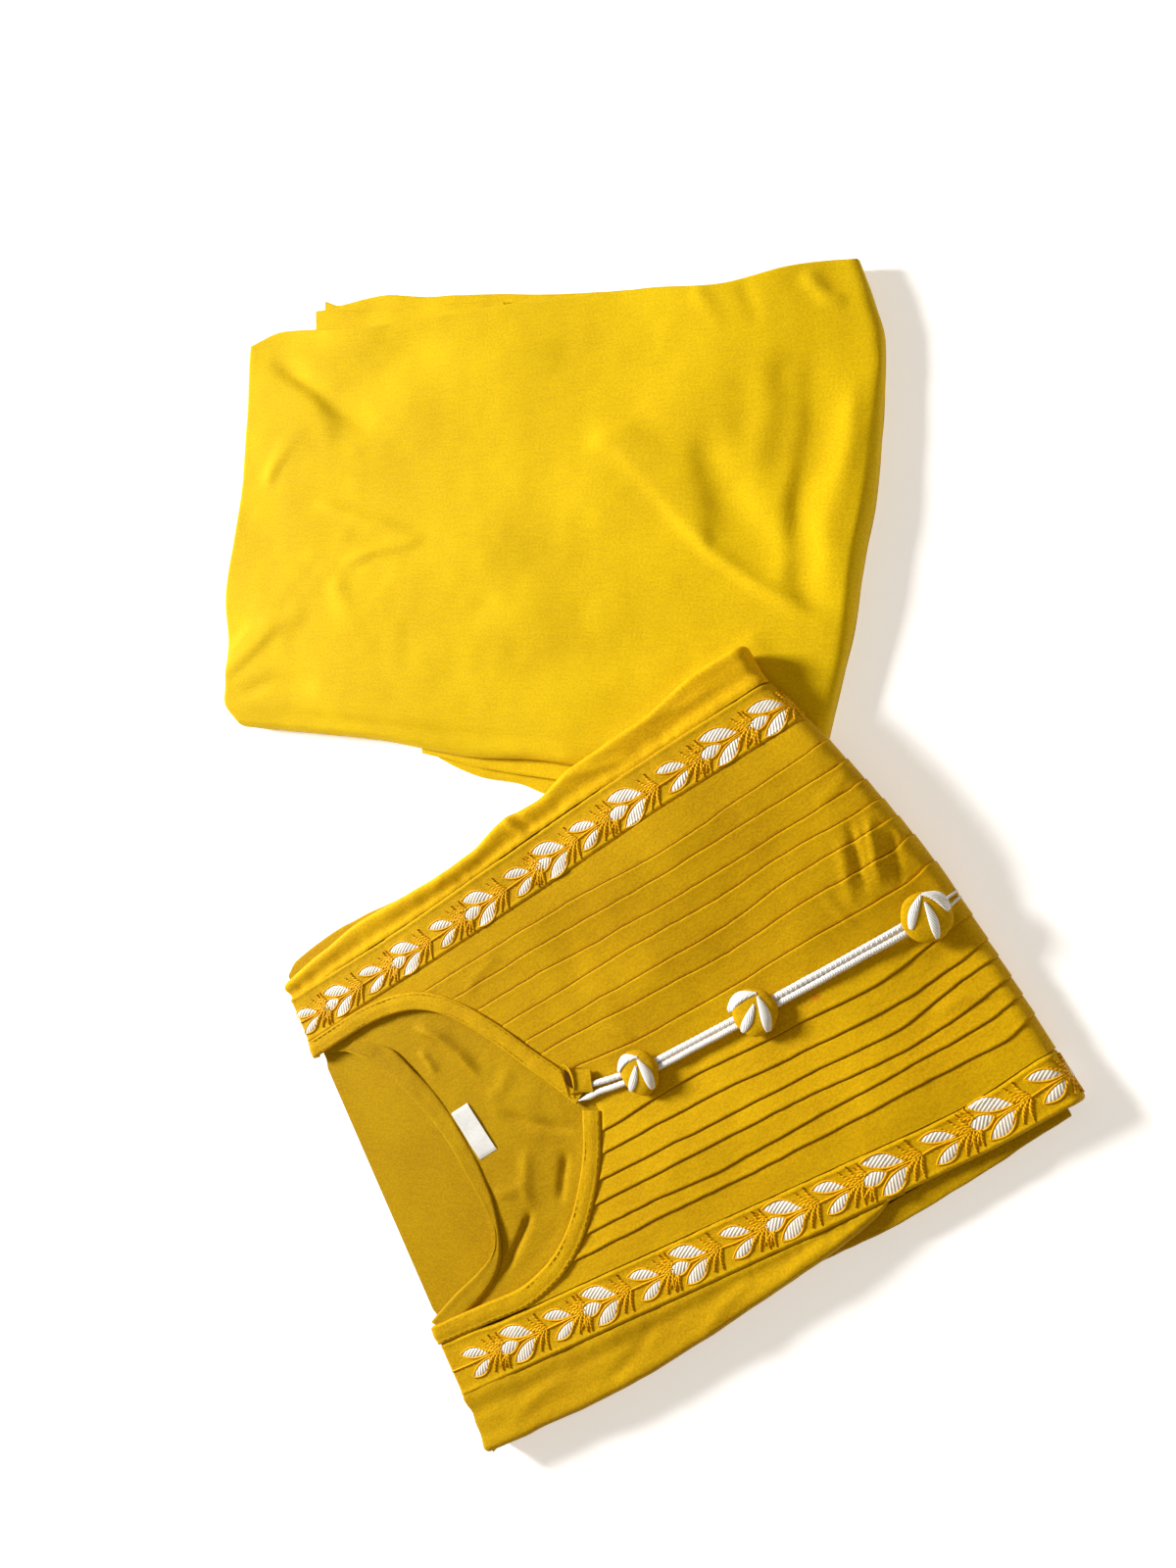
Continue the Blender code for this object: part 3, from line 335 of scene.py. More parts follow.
PANT_CREASES = (
    (((36, 42), (58, 34), (76, 13), (90, -7), (103, -25)), 1.9, 7.0, 0.4),
    (((70, 24), (101, -23.7), (123.8, -42.5), (163, -69)), 1.1, 3.0, 0.3),
    (((94, 40), (106, 10), (120, -16), (142, -40)), -1.4, 9.0),
    (((152, 66), (153.8, 30), (145, -8), (145, -42), (154, -68)), -1.5, 6.5, 0.2),
    (((171, 52), (170, 20), (160, -22), (162, -52)), 0.9, 5.0),
    (((128, 74), (131, 40), (124, 8)), 0.7, 7.0),
    (((-160, 118), (-150, 111), (-120, 88), (-86, 62)), -1.2, 5.5, 0.25),
    (((-168, 104), (-140, 88), (-108, 62)), 0.8, 6.0),
    (((-160, 40), (-150, 54), (-138, 68), (-124, 78)), 0.9, 4.0, 0.2),
    (((-128, 29), (-94, 15), (-60, 4)), 0.9, 3.6, 0.3),
    (((-108, -9), (-84, -3), (-52, -1)), 0.8, 3.4, 0.3),
    (((-104, 10), (-88, 5), (-74, 3)), -0.5, 3.2),
    (((-112, -12), (-104, -30), (-92, -52)), 0.6, 5.0),
    (((95, 108), (101, 98), (112, 80)), 0.8, 3.2),
    (((118, 106), (124, 92), (128, 78)), -0.5, 4.0),
    (((148, 104), (160, 88), (170, 84)), 0.8, 3.6),
    (((-192, -69), (-172, -56), (-146, -36)), 1.1, 4.2, 0.2),
    (((-190, -58), (-164, -40), (-126, -34)), 0.7, 5.0),
    (((-186, -78), (-150, -70), (-116, -74)), -0.7, 5.0),
    (((-166, -84), (-110, -93), (-40, -104), (30, -113)), -0.7, 3.2),
    (((-60, 100), (-20, 92), (30, 88)), 0.6, 9.0),
    (((-20, -40), (20, -56), (70, -58)), 0.6, 10.0),
    (((-40, -74), (0, -84), (60, -90)), 0.5, 8.0),
)

# The stage, in metres
CAMERA_PLACE = (0.2290, -0.0271, 0.535)
CAMERA_AXES = ((0.91806, 0.0, -0.39645), (0.03292, 0.99655, 0.07624), (0.39508, -0.08305, 0.91489))
CAMERA_SENSOR, CAMERA_LENS = 24.0, 18.0  # mm
FLOOR_SIZE, FLOOR_Z = 14.0, -0.0004
FLOOR_COLOUR, FLOOR_GLOW = (0.93, 0.93, 0.93, 1.0), 0.4
SKY_COLOUR, SKY_STRENGTH = (1.0, 0.82, 0.58, 1.0), 0.3
# Name, place, size and watts
LAMPS = (("key light", (-1.98, 0.56, 1.06), 0.55, 104.0), ("fill light", (0.9, -0.5, 1.6), 1.6, 3.0))


def smooth(table, x):
    """The second column at x of a table sorted by its first, through a smooth curve, even past its ends."""
    xs, ys = np.array(table, float).T[:2]
    x = np.asarray(x, float)
    rise = np.diff(ys) / np.diff(xs)
    same_way = rise[:-1] * rise[1:] > 0
    both = np.where(same_way, rise[:-1] + rise[1:], 1.0)
    middle = np.where(same_way, 2 * rise[:-1] * rise[1:] / both, 0.0)
    slope = np.concatenate([rise[:1], middle, rise[-1:]])
    i = np.clip(np.searchsorted(xs, x) - 1, 0, len(xs) - 2)
    step = xs[i + 1] - xs[i]
    t = np.clip((x - xs[i]) / step, 0.0, 1.0)
    keep, gain = (1 + 2 * t) * (1 - t) ** 2, t * t * (3 - 2 * t)
    turn = step * (t * (1 - t) ** 2 * slope[i] - t * t * (1 - t) * slope[i + 1])
    return keep * ys[i] + gain * ys[i + 1] + turn


def run_along(points):
    """Length along a line of points, at each of them."""
    return np.concatenate([[0.0], np.cumsum(np.linalg.norm(np.diff(points, axis=0), axis=1))])


def pairs(first, second):
    return np.stack(np.broadcast_arrays(first, second), axis=-1)


def split(places):
    return places[..., 0], places[..., 1]


def curve(points, t):
    """Points of a smooth curve through the points, t from 0 to 1 along it."""
    points = np.array(points, float)
    run = run_along(points)
    run /= run[-1]
    return np.stack([smooth(np.column_stack([run, points[:, k]]), t) for k in (0, 1)], axis=-1)


def parallel(points, distance, t):
    """Points of the smooth curve moved a distance to the left of its way."""
    ahead = curve(points, np.clip(t + 0.01, 0, 1)) - curve(points, np.clip(t - 0.01, 0, 1))
    ahead /= np.linalg.norm(ahead, axis=-1, keepdims=True)
    return curve(points, t) + np.stack([-ahead[..., 1], ahead[..., 0]], axis=-1) * np.asarray(distance)[..., None]


def ease(t):
    t = np.clip(t, 0.0, 1.0)
    return t * t * (3 - 2 * t)


def bump(x, width):
    return np.exp(-((x / width) ** 2))


def rounded(share):
    """Height of a half circle at a share of its radius."""
    return np.sqrt(np.clip(1 - share**2, 0, 1))


def arch(count, height):
    """Heights of a stitch between its two ends."""
    return height * np.sin(np.linspace(0.05, 0.95, count) * math.pi)


def ripple(x, y, size, seed):
    """Smooth unevenness between -1 and 1, in lumps of a size."""
    u, v = x / size + 17.3 * seed, y / size + 5.7 * seed
    i, j = np.floor(u), np.floor(v)
    fu, fv = ease(u - i), ease(v - j)

    def corner(p, q):
        value = np.sin(p * 127.1 + q * 311.7 + seed * 74.7) * 43758.5453
        return 2 * (value - np.floor(value)) - 1

    low = corner(i, j) * (1 - fu) + corner(i + 1, j) * fu
    high = corner(i, j + 1) * (1 - fu) + corner(i + 1, j + 1) * fu
    return low * (1 - fv) + high * fv


def lumps(x, y, *kinds):
    """Sum of ripples, each with its height, size and seed."""
    return sum(height * ripple(x, y, size, seed) for height, size, seed in kinds)


def crease(x, y, line, height, width, steep=0.0):
    """A soft ridge along a line, or a trough, dying out at its ends, and steeper on one side."""
    line = np.array(line, float)
    run = run_along(line)
    away = np.full(np.shape(x), 1e9)
    along, side = np.zeros(np.shape(x)), np.ones(np.shape(x))
    for k, (p, q) in enumerate(zip(line, line[1:])):
        way = q - p
        t = np.clip(((x - p[0]) * way[0] + (y - p[1]) * way[1]) / (way @ way), 0.0, 1.0)
        dx, dy = x - p[0] - t * way[0], y - p[1] - t * way[1]
        distance = np.hypot(dx, dy)
        nearer = distance < away
        away = np.where(nearer, distance, away)
        along = np.where(nearer, (run[k] + t * (run[k + 1] - run[k])) / run[-1], along)
        side = np.where(nearer, np.sign(way[0] * dy - way[1] * dx), side)
    taper = ease(4.6 * along * (1 - along))
    return height * taper * bump(away, width * (1 + steep * side))


def creases(x, y, table):
    return sum(crease(x, y, *row) for row in table)


def lift(x, y):
    """How far the pant raises the kurta at a place."""
    out = [
        np.maximum((x - PANT_CORNER[0]) * fx + (y - PANT_CORNER[1]) * fy - LIFT_MARGIN, 0.0)
        for fx, fy in PANT_EDGES_FACE
    ]
    return LIFT * (1.0 - ease(np.hypot(*out) / LIFT_RAMP))


def kurta_place(a, b, z):
    """Places in the frame, from along the kurta, across it and height."""
    a, b, z = np.broadcast_arrays(np.asarray(a, float), b, z)
    x = KURTA_NECK[0] + a * math.cos(KURTA_TURN) - b * math.sin(KURTA_TURN)
    y = KURTA_NECK[1] + a * math.sin(KURTA_TURN) + b * math.cos(KURTA_TURN)
    return np.stack([x, y, z + lift(x, y)], axis=-1)


def fold_start(b):
    """Where the front starts to turn round the bottom fold."""
    return FOLD_END - FOLD_SKEW * (np.clip(b, 0.0, FOLD_CORNER) / FOLD_CORNER) ** 1.5 - FOLD_RADIUS


def front(s, b, h):
    """Places of the flat front, turned over the shoulder edge and round the bottom fold."""
    s, b, h = np.broadcast_arrays(np.asarray(s, float), b, h)
    fold = fold_start(b)
    over = (SHOULDER_START - s) / SHOULDER_RADIUS
    under = np.clip((s - fold) / FOLD_RADIUS, 0.0, math.pi)
    past = np.maximum(s - fold - math.pi * FOLD_RADIUS, 0.0)
    small = SHOULDER_RADIUS + h
    most = 3.0 * (1 - ease(2 * under / math.pi - 1)) - 0.1
    large = FOLD_RADIUS + np.minimum(h, most)
    a = np.where(s < SHOULDER_START, SHOULDER_START - small * np.sin(over), s)
    z = np.where(s < SHOULDER_START, KURTA_HEIGHT - SHOULDER_RADIUS + small * np.cos(over), KURTA_HEIGHT + h)
    a = np.where(s > fold, fold + large * np.sin(under) - past, a)
    z = np.where(s > fold, FOLD_RADIUS + large * np.cos(under), z)
    return kurta_place(a, b, z)


def calm(s, b):
    """Share of the relief that is left at a place: none under the fold."""
    return 1.0 - ease((s - fold_start(b)) / (FOLD_RADIUS * 2.2))


def seam(line, sign, s):
    """Where a piece starts outside a seam, with a little room, and lapping over it at the shoulder."""
    return smooth(line, s) + sign * (SEAM_ROOM - SEAM_LAP * ease((LAP_START - s) / LAP_RUN))


def shoulder_rows(level):
    """Lengths along the front of the rows turned over the shoulder edge."""
    return SHOULDER_START - SHOULDER_RADIUS * SHOULDER_TURN * np.linspace(1, 0, 9)[:-1, None] + 0 * level


def stations(level, start, rows, turned=False):
    """Lengths along the front for each column: from its start to the end of the lip under the fold."""
    fold = fold_start(level)
    flat = start + (fold - start) * np.linspace(0, 1, rows)[:, None]
    turn = fold + FOLD_RADIUS * math.pi * np.linspace(0, 1, 19)[1:, None]
    lip = turn[-1] + FOLD_LIP * np.linspace(0, 1, 4)[1:, None]
    return np.concatenate([shoulder_rows(level), flat, turn, lip] if turned else [flat, turn, lip])


# Materials


def new_material(name):
    made = bpy.data.materials.new(name)
    made.use_nodes = True
    return made, made.node_tree, made.node_tree.nodes["Principled BSDF"]


def node(tree, kind, values=(), **settings):
    """A new node, with values for its sockets by name or number, and its settings."""
    made = tree.nodes.new(kind)
    for key, value in settings.items():
        setattr(made, key, value)
    tune(made, dict(values))
    return made


def tune(made, values):
    for socket, value in values.items():
        made.inputs[socket].default_value = value


def link(tree, source, target, socket):
    """Joins an output, or a node's first one, to a node's socket."""
    tree.links.new(source.outputs[0] if isinstance(source, bpy.types.Node) else source, target.inputs[socket])


def mapped(tree, output, scale, turn=0.0):
    """Texture coordinates of the piece, stretched and turned."""
    mapping = node(tree, "ShaderNodeMapping", {"Scale": scale, "Rotation": (0, 0, turn)})
    link(tree, node(tree, "ShaderNodeTexCoord").outputs[output], mapping, "Vector")
    return mapping


def two_tones(tree, factor, low, high, positions):
    ramp = node(tree, "ShaderNodeValToRGB")
    for element, colour, position in zip(ramp.color_ramp.elements, (low, high), positions):
        element.color = (*colour, 1.0)
        element.position = position
    link(tree, factor, ramp, "Fac")
    return ramp


def blended(tree, share, first, second):
    """Mix of two colours, with a share of the second."""
    mix = node(tree, "ShaderNodeMix", {"Factor": share}, data_type="RGBA")
    link(tree, first, mix, "A")
    link(tree, second, mix, "B")
    return mix.outputs["Result"]


def waved(tree, output, period, way, turn=0.0):
    """Evenly spaced ridges, a period apart in metres."""
    wave = node(tree, "ShaderNodeTexWave", {"Scale": WAVE_SCALE / period}, bands_direction=way)
    link(tree, mapped(tree, output, (1, 1, 1), turn), wave, "Vector")
    return wave


def clouded(tree, scale, detail=2.0):
    """Soft noise on the piece's own map."""
    cloud = node(tree, "ShaderNodeTexNoise", {"Scale": 1.0, "Detail": detail})
    link(tree, mapped(tree, "UV", scale), cloud, "Vector")
    return cloud


def reckon(tree, operation, first, second):
    """A sum of two nodes, or of a node and a number."""
    made = node(tree, "ShaderNodeMath", operation=operation)
    for socket, part in enumerate((first, second)):
        if isinstance(part, float):
            made.inputs[socket].default_value = part
        else:
            link(tree, part.outputs["Fac"] if "Fac" in part.outputs else part, made, socket)
    return made


def embossed(tree, shader, height, strength, depth):
    relief = node(tree, "ShaderNodeBump", {"Strength": strength, "Distance": depth})
    link(tree, height, relief, "Height")
    link(tree, relief, shader, "Normal")


def woven(name, colour, shade, bright, thread, slub, sheen, spot=None):
    """Woven cloth on the flat cut's map: crossed threads, uneven slub across them and faint clouds, which are
    partly the cloth's own uneven tone and partly painted light and shade.
    """
    made, tree, shader = new_material(name)
    warp, weft = (reckon(tree, "SUBTRACT", waved(tree, "UV", thread, way), 0.5) for way in "XY")
    weave = reckon(tree, "MULTIPLY", warp, weft)
    streak = clouded(tree, slub, 3.0)
    cross = clouded(tree, (slub[1], slub[0] * 1.5, 1.0))
    # Broad clouds: partly the cloth's own uneven tone, partly painted light and shade in patches that stand in for
    # light on its undulations.
    clouds_with_painted_shade = clouded(tree, (22.0, 22.0, 1.0), 3.0)
    grain = clouded(tree, (800.0, 1000.0, 1.0), 3.0)
    result = two_tones(tree, streak, shade, bright, (0.25, 0.75))
    for source, positions, share in (
        (clouds_with_painted_shade, (0.36, 0.64), 0.5), (grain, (0.41, 0.59), 0.42), (weave, (0.0, 0.6), 0.14),
    ):
        result = blended(tree, share, result, two_tones(tree, source, shade, bright, positions))
    if spot:
        result = spotted(tree, result, spot)
    link(tree, result, shader, "Base Color")
    height = reckon(tree, "MULTIPLY", weave, 0.9)
    for source, share in ((streak, 0.7), (cross, 0.35), (grain, 0.6)):
        height = reckon(tree, "ADD", height, reckon(tree, "MULTIPLY", source, share))
    embossed(tree, shader, height, 0.8, 0.0003)
    rough = node(tree, "ShaderNodeMapRange", {"To Min": 0.66, "To Max": 0.86})
    link(tree, streak.outputs["Fac"], rough, "Value")
    link(tree, rough, shader, "Roughness")
    tune(shader, {
        "Sheen Weight": sheen, "Sheen Roughness": 0.4, "Sheen Tint": (*colour, 1.0),
        "Specular IOR Level": 0.3, "Specular Tint": (1.0, 0.8, 0.12, 1.0),
    })
    return made


def spotted(tree, colour, spot):
    """A small stain on the cloth: its place on the cut, its size and its colour."""
    place, size, tint = spot
    mapping = node(
        tree, "ShaderNodeMapping",
        {"Location": [-p / r for p, r in zip(place, size)] + [0.0], "Scale": [1.0 / r for r in size] + [1.0]},
    )
    link(tree, node(tree, "ShaderNodeTexCoord").outputs["UV"], mapping, "Vector")
    rough_edge = node(tree, "ShaderNodeTexNoise", {"Scale": 1.6, "Detail": 3.0})
    link(tree, mapping, rough_edge, "Vector")
    distance = node(tree, "ShaderNodeVectorMath", operation="LENGTH")
    link(tree, mapping, distance, 0)
    edge = node(tree, "ShaderNodeMath", operation="ADD")
    link(tree, distance.outputs["Value"], edge, 0)
    link(tree, reckon(tree, "MULTIPLY", rough_edge, 0.9), edge, 1)
    share = node(tree, "ShaderNodeMapRange", {"From Min": 0.7, "From Max": 1.5, "To Min": 0.65, "To Max": 0.0})
    link(tree, edge, share, "Value")
    mix = node(tree, "ShaderNodeMix", data_type="RGBA")
    link(tree, share, mix, "Factor")
    link(tree, colour, mix, "A")
    mix.inputs["B"].default_value = (*tint, 1.0)
    return mix.outputs["Result"]


def satin(name, colour, shade, thread, turn, sheen=0.3, rough=0.42):
    """Satin stitch or twisted silk: fine glossy threads lying side by side, on the piece's own map."""
    made, tree, shader = new_material(name)
    threads = waved(tree, "UV", thread, "X", turn)
    tune(threads, {"Distortion": 0.6, "Detail Scale": 3.0})
    fibre = clouded(tree, (900.0, 260.0, 1.0))
    lines = two_tones(tree, threads, shade, colour, (0.15, 0.6))
    uneven = two_tones(tree, fibre, shade, colour, (0.3, 0.55))
    link(tree, blended(tree, 0.25, lines, uneven), shader, "Base Color")
    embossed(tree, shader, reckon(tree, "ADD", threads, reckon(tree, "MULTIPLY", fibre, 0.4)), 0.8, 0.00025)
    tune(shader, {
        "Roughness": rough, "Sheen Weight": sheen, "Sheen Tint": (*colour, 1.0), "Specular Tint": (*colour, 1.0),
    })
    return made


def thread_material(name, colour, shade):
    """Sewing thread, twisted and slightly glossy."""
    made, tree, shader = new_material(name)
    twist = waved(tree, "Object", 0.0006, "DIAGONAL")
    link(tree, two_tones(tree, twist, shade, colour, (0.1, 0.6)), shader, "Base Color")
    embossed(tree, shader, twist.outputs["Fac"], 0.5, 0.0001)
    tune(shader, {"Roughness": 0.5, "Specular Tint": (*colour, 1.0)})
    return made


# Mesh making


def deselect():
    if bpy.context.mode != "OBJECT":
        bpy.ops.object.mode_set(mode="OBJECT")
    bpy.ops.object.select_all(action="DESELECT")


def choose(piece):
    deselect()
    piece.select_set(True)
    bpy.context.view_layer.objects.active = piece


def finish_piece(piece, name, material, nodes=()):
    """Names a piece, dresses it and hangs it on the part."""
    piece.name = piece.data.name = name
    piece.data.materials.clear()
    piece.data.materials.append(material)
    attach(piece, "root")
    if nodes:
        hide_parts(*nodes)


def set_map(mesh, flat):
    corner = np.empty(len(mesh.loops), np.int32)
    mesh.loops.foreach_get("vertex_index", corner)
    layer = mesh.uv_layers[0] if mesh.uv_layers else mesh.uv_layers.new(name="UVMap")
    layer.data.foreach_set("uv", (flat.reshape(-1, 2) * MM)[corner].astype(np.float32).ravel())


def upwards(points, flat):
    """The same grids in the order that makes the sheet's upper side face up."""
    first, second = points[1:, 1:] - points[:-1, :-1], points[1:, :-1] - points[:-1, 1:]
    rise = first[..., 0] * second[..., 1] - first[..., 1] * second[..., 0]
    height = points[:-1, :-1, 2]
    if rise[height >= np.median(height)].sum() < 0:
        return points[:, ::-1], flat[:, ::-1]
    return points, flat


def laid(points):
    """A strip of cloth laid flat: its run along the strip's middle, and its own width across each row."""
    run = run_along(points[:, points.shape[1] // 2])
    steps = np.linalg.norm(np.diff(points, axis=1), axis=2)
    across = np.concatenate([np.zeros((len(points), 1)), np.cumsum(steps, axis=1)], axis=1)
    return pairs(run[:, None], across)


def grid_piece(points, flat):
    """A grid of faces at places in millimetres, with the same grid laid flat as its map."""
    rows, columns = points.shape[:2]
    deselect()
    bpy.ops.mesh.primitive_grid_add(x_subdivisions=columns - 1, y_subdivisions=rows - 1, size=1.0)
    piece = bpy.context.object
    if len(piece.data.vertices) != rows * columns:
        raise RuntimeError(f"the grid has {len(piece.data.vertices)} points and not {rows * columns}")
    piece.data.vertices.foreach_set("co", (points.reshape(-1, 3) * MM).astype(np.float32).ravel())
    set_map(piece.data, flat)
    piece.data.update()
    return piece


def sheet_piece(points, flat, wall):
    """The same with its upper side up, and a wall under it."""
    piece = grid_piece(*upwards(points, flat))
    thick = piece.modifiers.new("wall", "SOLIDIFY")
    thick.thickness = wall * MM
    thick.offset = -1.0
    bpy.ops.object.modifier_apply(modifier=thick.name)
    return piece


def cloth(
    name, points, flat, material, wall=CLOTH_WALL,
):
    """A sheet of cloth from a grid of places and the same grid laid flat, both in millimetres."""
    piece = sheet_piece(points, flat, wall)
    bpy.ops.object.shade_smooth_by_angle(angle=math.radians(60))
    finish_piece(piece, name, material, [name.rpartition("_")[0]])


def threads(name, lines, radius, material, slot, sides=1):
    """Threads along lines of places in millimetres, as one piece."""
    deselect()
    bpy.ops.curve.primitive_nurbs_path_add()
    piece = bpy.context.object
    data = piece.data
    data.splines.clear()
    data.dimensions = "3D"
    data.bevel_depth = radius * MM
    data.bevel_resolution = sides
    data.use_fill_caps = True
    for line in lines:
        spline = data.splines.new("POLY")
        spline.points.add(len(line) - 1)
        spline.points.foreach_set("co", np.column_stack([line * MM, np.ones(len(line))]).astype(np.float32).ravel())
    choose(piece)
    bpy.ops.object.convert(target="MESH")
    bpy.ops.object.shade_smooth()
    finish_piece(bpy.context.object, name, material)


def patches(name, grids, material):
    """Small closed pads, each from a grid of places, its map and its thickness, joined into one piece."""
    made = [sheet_piece(points, flat, wall) for points, flat, wall in grids]
    deselect()
    for pad in made:
        pad.select_set(True)
    bpy.context.view_layer.objects.active = made[0]
    if len(made) > 1:
        bpy.ops.object.join()
    bpy.ops.object.shade_smooth_by_angle(angle=math.radians(70))
    finish_piece(bpy.context.object, name, material)


def dashes(s, b, length, space):
    """Stitches along a line on the flat front, as short lines of (s, b)."""
    run = run_along(pairs(s, b))
    found, at = [], 0.4
    while at + length < run[-1]:
        here = np.linspace(at, at + length, 4)
        found.append((np.interp(here, run, s), np.interp(here, run, b)))
        at += length + space
    return found


def rim(rows, columns):
    """The border of a grid, as index pairs in order."""
    found = [(0, j) for j in range(columns)]
    found += [(i, columns - 1) for i in range(1, rows)]
    found += [(rows - 1, j) for j in range(columns - 2, -1, -1)]
    return found + [(i, 0) for i in range(rows - 2, 0, -1)]


def around(grid):
    """The border of a grid, in order."""
    return grid[tuple(np.array(rim(*grid.shape[:2])).T)]


def stack(name, top, rings, bottom, material, nodes):
    """The hidden layers of a packet: a top and a bottom grid, and rings round the side from top to bottom."""
    rows, columns = top.shape[:2]
    under = rows * columns
    points = np.concatenate([top.reshape(-1, 3), bottom.reshape(-1, 3), *rings])
    index = np.arange(under).reshape(rows, columns)
    quads = np.stack([index[:-1, :-1], index[1:, :-1], index[1:, 1:], index[:-1, 1:]], axis=-1).reshape(-1, 4)
    start = around(index)
    count = len(start)
    levels = [start] + [2 * under + k * count + np.arange(count) for k in range(len(rings))] + [under + start]
    faces = [quads, quads[:, ::-1] + under]
    for upper, lower in zip(levels, levels[1:]):
        faces.append(np.stack([upper, np.roll(upper, -1), np.roll(lower, -1), lower], axis=-1))
    faces = np.concatenate(faces)
    mesh = bpy.data.meshes.new(name)
    mesh.from_pydata((points * MM).tolist(), [], faces.tolist())
    flat = points[:, :2].copy()
    run = run_along(rings[0][:, :2])
    for level, ring in zip(levels[1:-1], rings):
        flat[level] = pairs(run, ring[:, 2] * 1.5)
    set_map(mesh, flat)
    piece = bpy.data.objects.new(name, mesh)
    bpy.context.scene.collection.objects.link(piece)
    choose(piece)
    bpy.ops.object.mode_set(mode="EDIT")
    bpy.ops.mesh.select_all(action="SELECT")
    bpy.ops.mesh.normals_make_consistent(inside=False)
    bpy.ops.object.mode_set(mode="OBJECT")
    bpy.ops.object.shade_smooth_by_angle(angle=math.radians(60))
    finish_piece(piece, name, material, nodes)


# The kurta


def front_relief(s, b):
    """Unevenness and wrinkles of the flat front, none under the fold."""
    uneven = lumps(s, b, (1.8, 52.0, 6), (1.1, 26.0, 1), (0.28, 11.0, 2)) - 0.3
    uneven = uneven * (0.35 + 0.65 * ease((s - 5.0) / 20.0)) + 0.05 * ripple(s, b, 3.5, 3)
    return (uneven + 1.7 * creases(s, b, FRONT_CREASES)) * calm(s, b)


def tuck_line(k, sign, s):
    """Where a tuck's edge lies across the front, with its small waver."""
    return smooth(list(zip(TUCK_AT, TUCKS[sign][k - 1])), s) + lumps(s, 40.0 * k, (0.3, 13.0, 4), (0.14, 4.5, 5))


def strip_lines(k, sign, s):
    """The two lines that bound a strip of a tucked panel."""
    inner = tuck_line(k, sign, s) if k else np.full(np.shape(s), CENTRE_SEAM + sign * SEAM_ROOM)
    if k < len(TUCKS[sign]):
        return inner, tuck_line(k + 1, sign, s)
    return inner, smooth(BANDS[sign][0], s) - sign * SEAM_ROOM


def strip_height(k, last, beyond, width):
    """Height across a strip: low where the last tuck lies on it, and up to its own rounded edge."""
    before = width - beyond
    high = -0.45 if k == last else TUCK_EDGE
    share = np.clip(beyond / width, 0.0, 1.0)
    height = TUCK_LOW + (high - TUCK_LOW) * share
    if k:
        height = height - 0.45 * bump(beyond, 0.5)
    if k < last:
        height = height + 0.12 * bump(before - 0.9, 0.7) - 0.3 * bump(before, 0.3)
    return height


def neck_start(sign, b):
    """Where a front panel begins at a place across it, a little under the neck facing."""
    far = parallel(NECKS[sign], np.full(200, sign * (FACING_WIDTH - FACING_COVER)), np.linspace(0, 1, 200))
    inwards = far[np.argmax(sign * far[:, 1]):]
    return float(np.interp(sign * b, sign * inwards[::-1, 1], inwards[::-1, 0]))


def tucked_panel(sign, material):
    """A front panel of flat pin tucks, each fold lying over the strip outside it."""
    last = len(TUCKS[sign])
    columns = []
    for k in range(last + 1):
        columns += [(k, 0.0, offset) for offset in (STRIP_START if k else FIRST_STRIP_START)]
        columns += [(k, share, 0.0) for share in STRIP_MIDDLE]
        columns += [(k, 1.0, -offset) for offset in STRIP_END]
    places, starts = [], []
    for k, share, offset in columns:
        inner, outer = strip_lines(k, sign, np.zeros(1))
        places.append(float((inner + (outer - inner) * share)[0]) + sign * offset)
        starts.append(neck_start(sign, places[-1]))
    starts = np.array(starts)
    s = stations(np.array(places), starts, 150)
    b, h = np.empty_like(s), np.empty_like(s)
    for c, (k, share, offset) in enumerate(columns):
        inner, outer = strip_lines(k, sign, s[:, c])
        width = np.abs(outer - inner)
        beyond = width * share + offset
        b[:, c] = inner + sign * beyond
        h[:, c] = strip_height(k, last, np.maximum(beyond, 0.0), width) * (0.4 + 0.6 * calm(s[:, c], b[:, c]))
        if offset < 0 and share == 0.0:
            h[:, c] -= 0.1
    under = ease((s - starts) / 3.0)
    h = h * under + (1 - under) * -1.1 + front_relief(s, b)
    cloth(f"kurta_front_tucks_{SIDE_NAMES[sign]}_cloth", front(s, b, h), pairs(s, b), material)


def tuck_stitches(sign, shade):
    """The stitching of each tuck, sunk beside its edge; its darker thread also paints the shade in the crevice
    there.
    """
    lines, last = [], len(TUCKS[sign])
    for k in range(1, last + 1):
        s = np.arange(neck_start(sign, TUCKS[sign][k - 1][0]) + 3.0, 180.0, 1.0)
        for ds, db in dashes(s, tuck_line(k, sign, s) + sign * 0.42, *TUCK_STITCH):
            inner, outer = strip_lines(k, sign, ds)
            height = strip_height(k, last, np.abs(db - inner), np.abs(outer - inner)) + front_relief(ds, db)
            lines.append(front(ds, db, height + arch(len(ds), TUCK_STITCH_ARCH)))
    threads(f"kurta_{SIDE_NAMES[sign]}_tuck_stitches", lines, TUCK_STITCH_RADIUS, shade, "kurta_cloth")


def band_height(s, b, inside, outside):
    """Height over a border: puckered by its embroidery, with a stitched ridge along each edge."""
    near, far = np.abs(b - inside), np.abs(outside - b)
    ridge = bump(near - 1.5, 0.75) + bump(far - 1.5, 0.75)
    pucker = 0.22 * ripple(s * 1.6, b, 9.0, 11) + 0.1 * ripple(s * 2.2, b, 4.0, 12)
    gather = 0.14 * ripple(s, b * 0.2, 2.4, 13) * (bump(near, 4.0) + bump(far, 4.0))
    seam = -0.55 * (bump(near, 0.5) + bump(far, 0.5))
    return BAND_SKIN + (0.42 * ridge + pucker + gather) * calm(s, b) + seam + front_relief(s, b) * 0.7


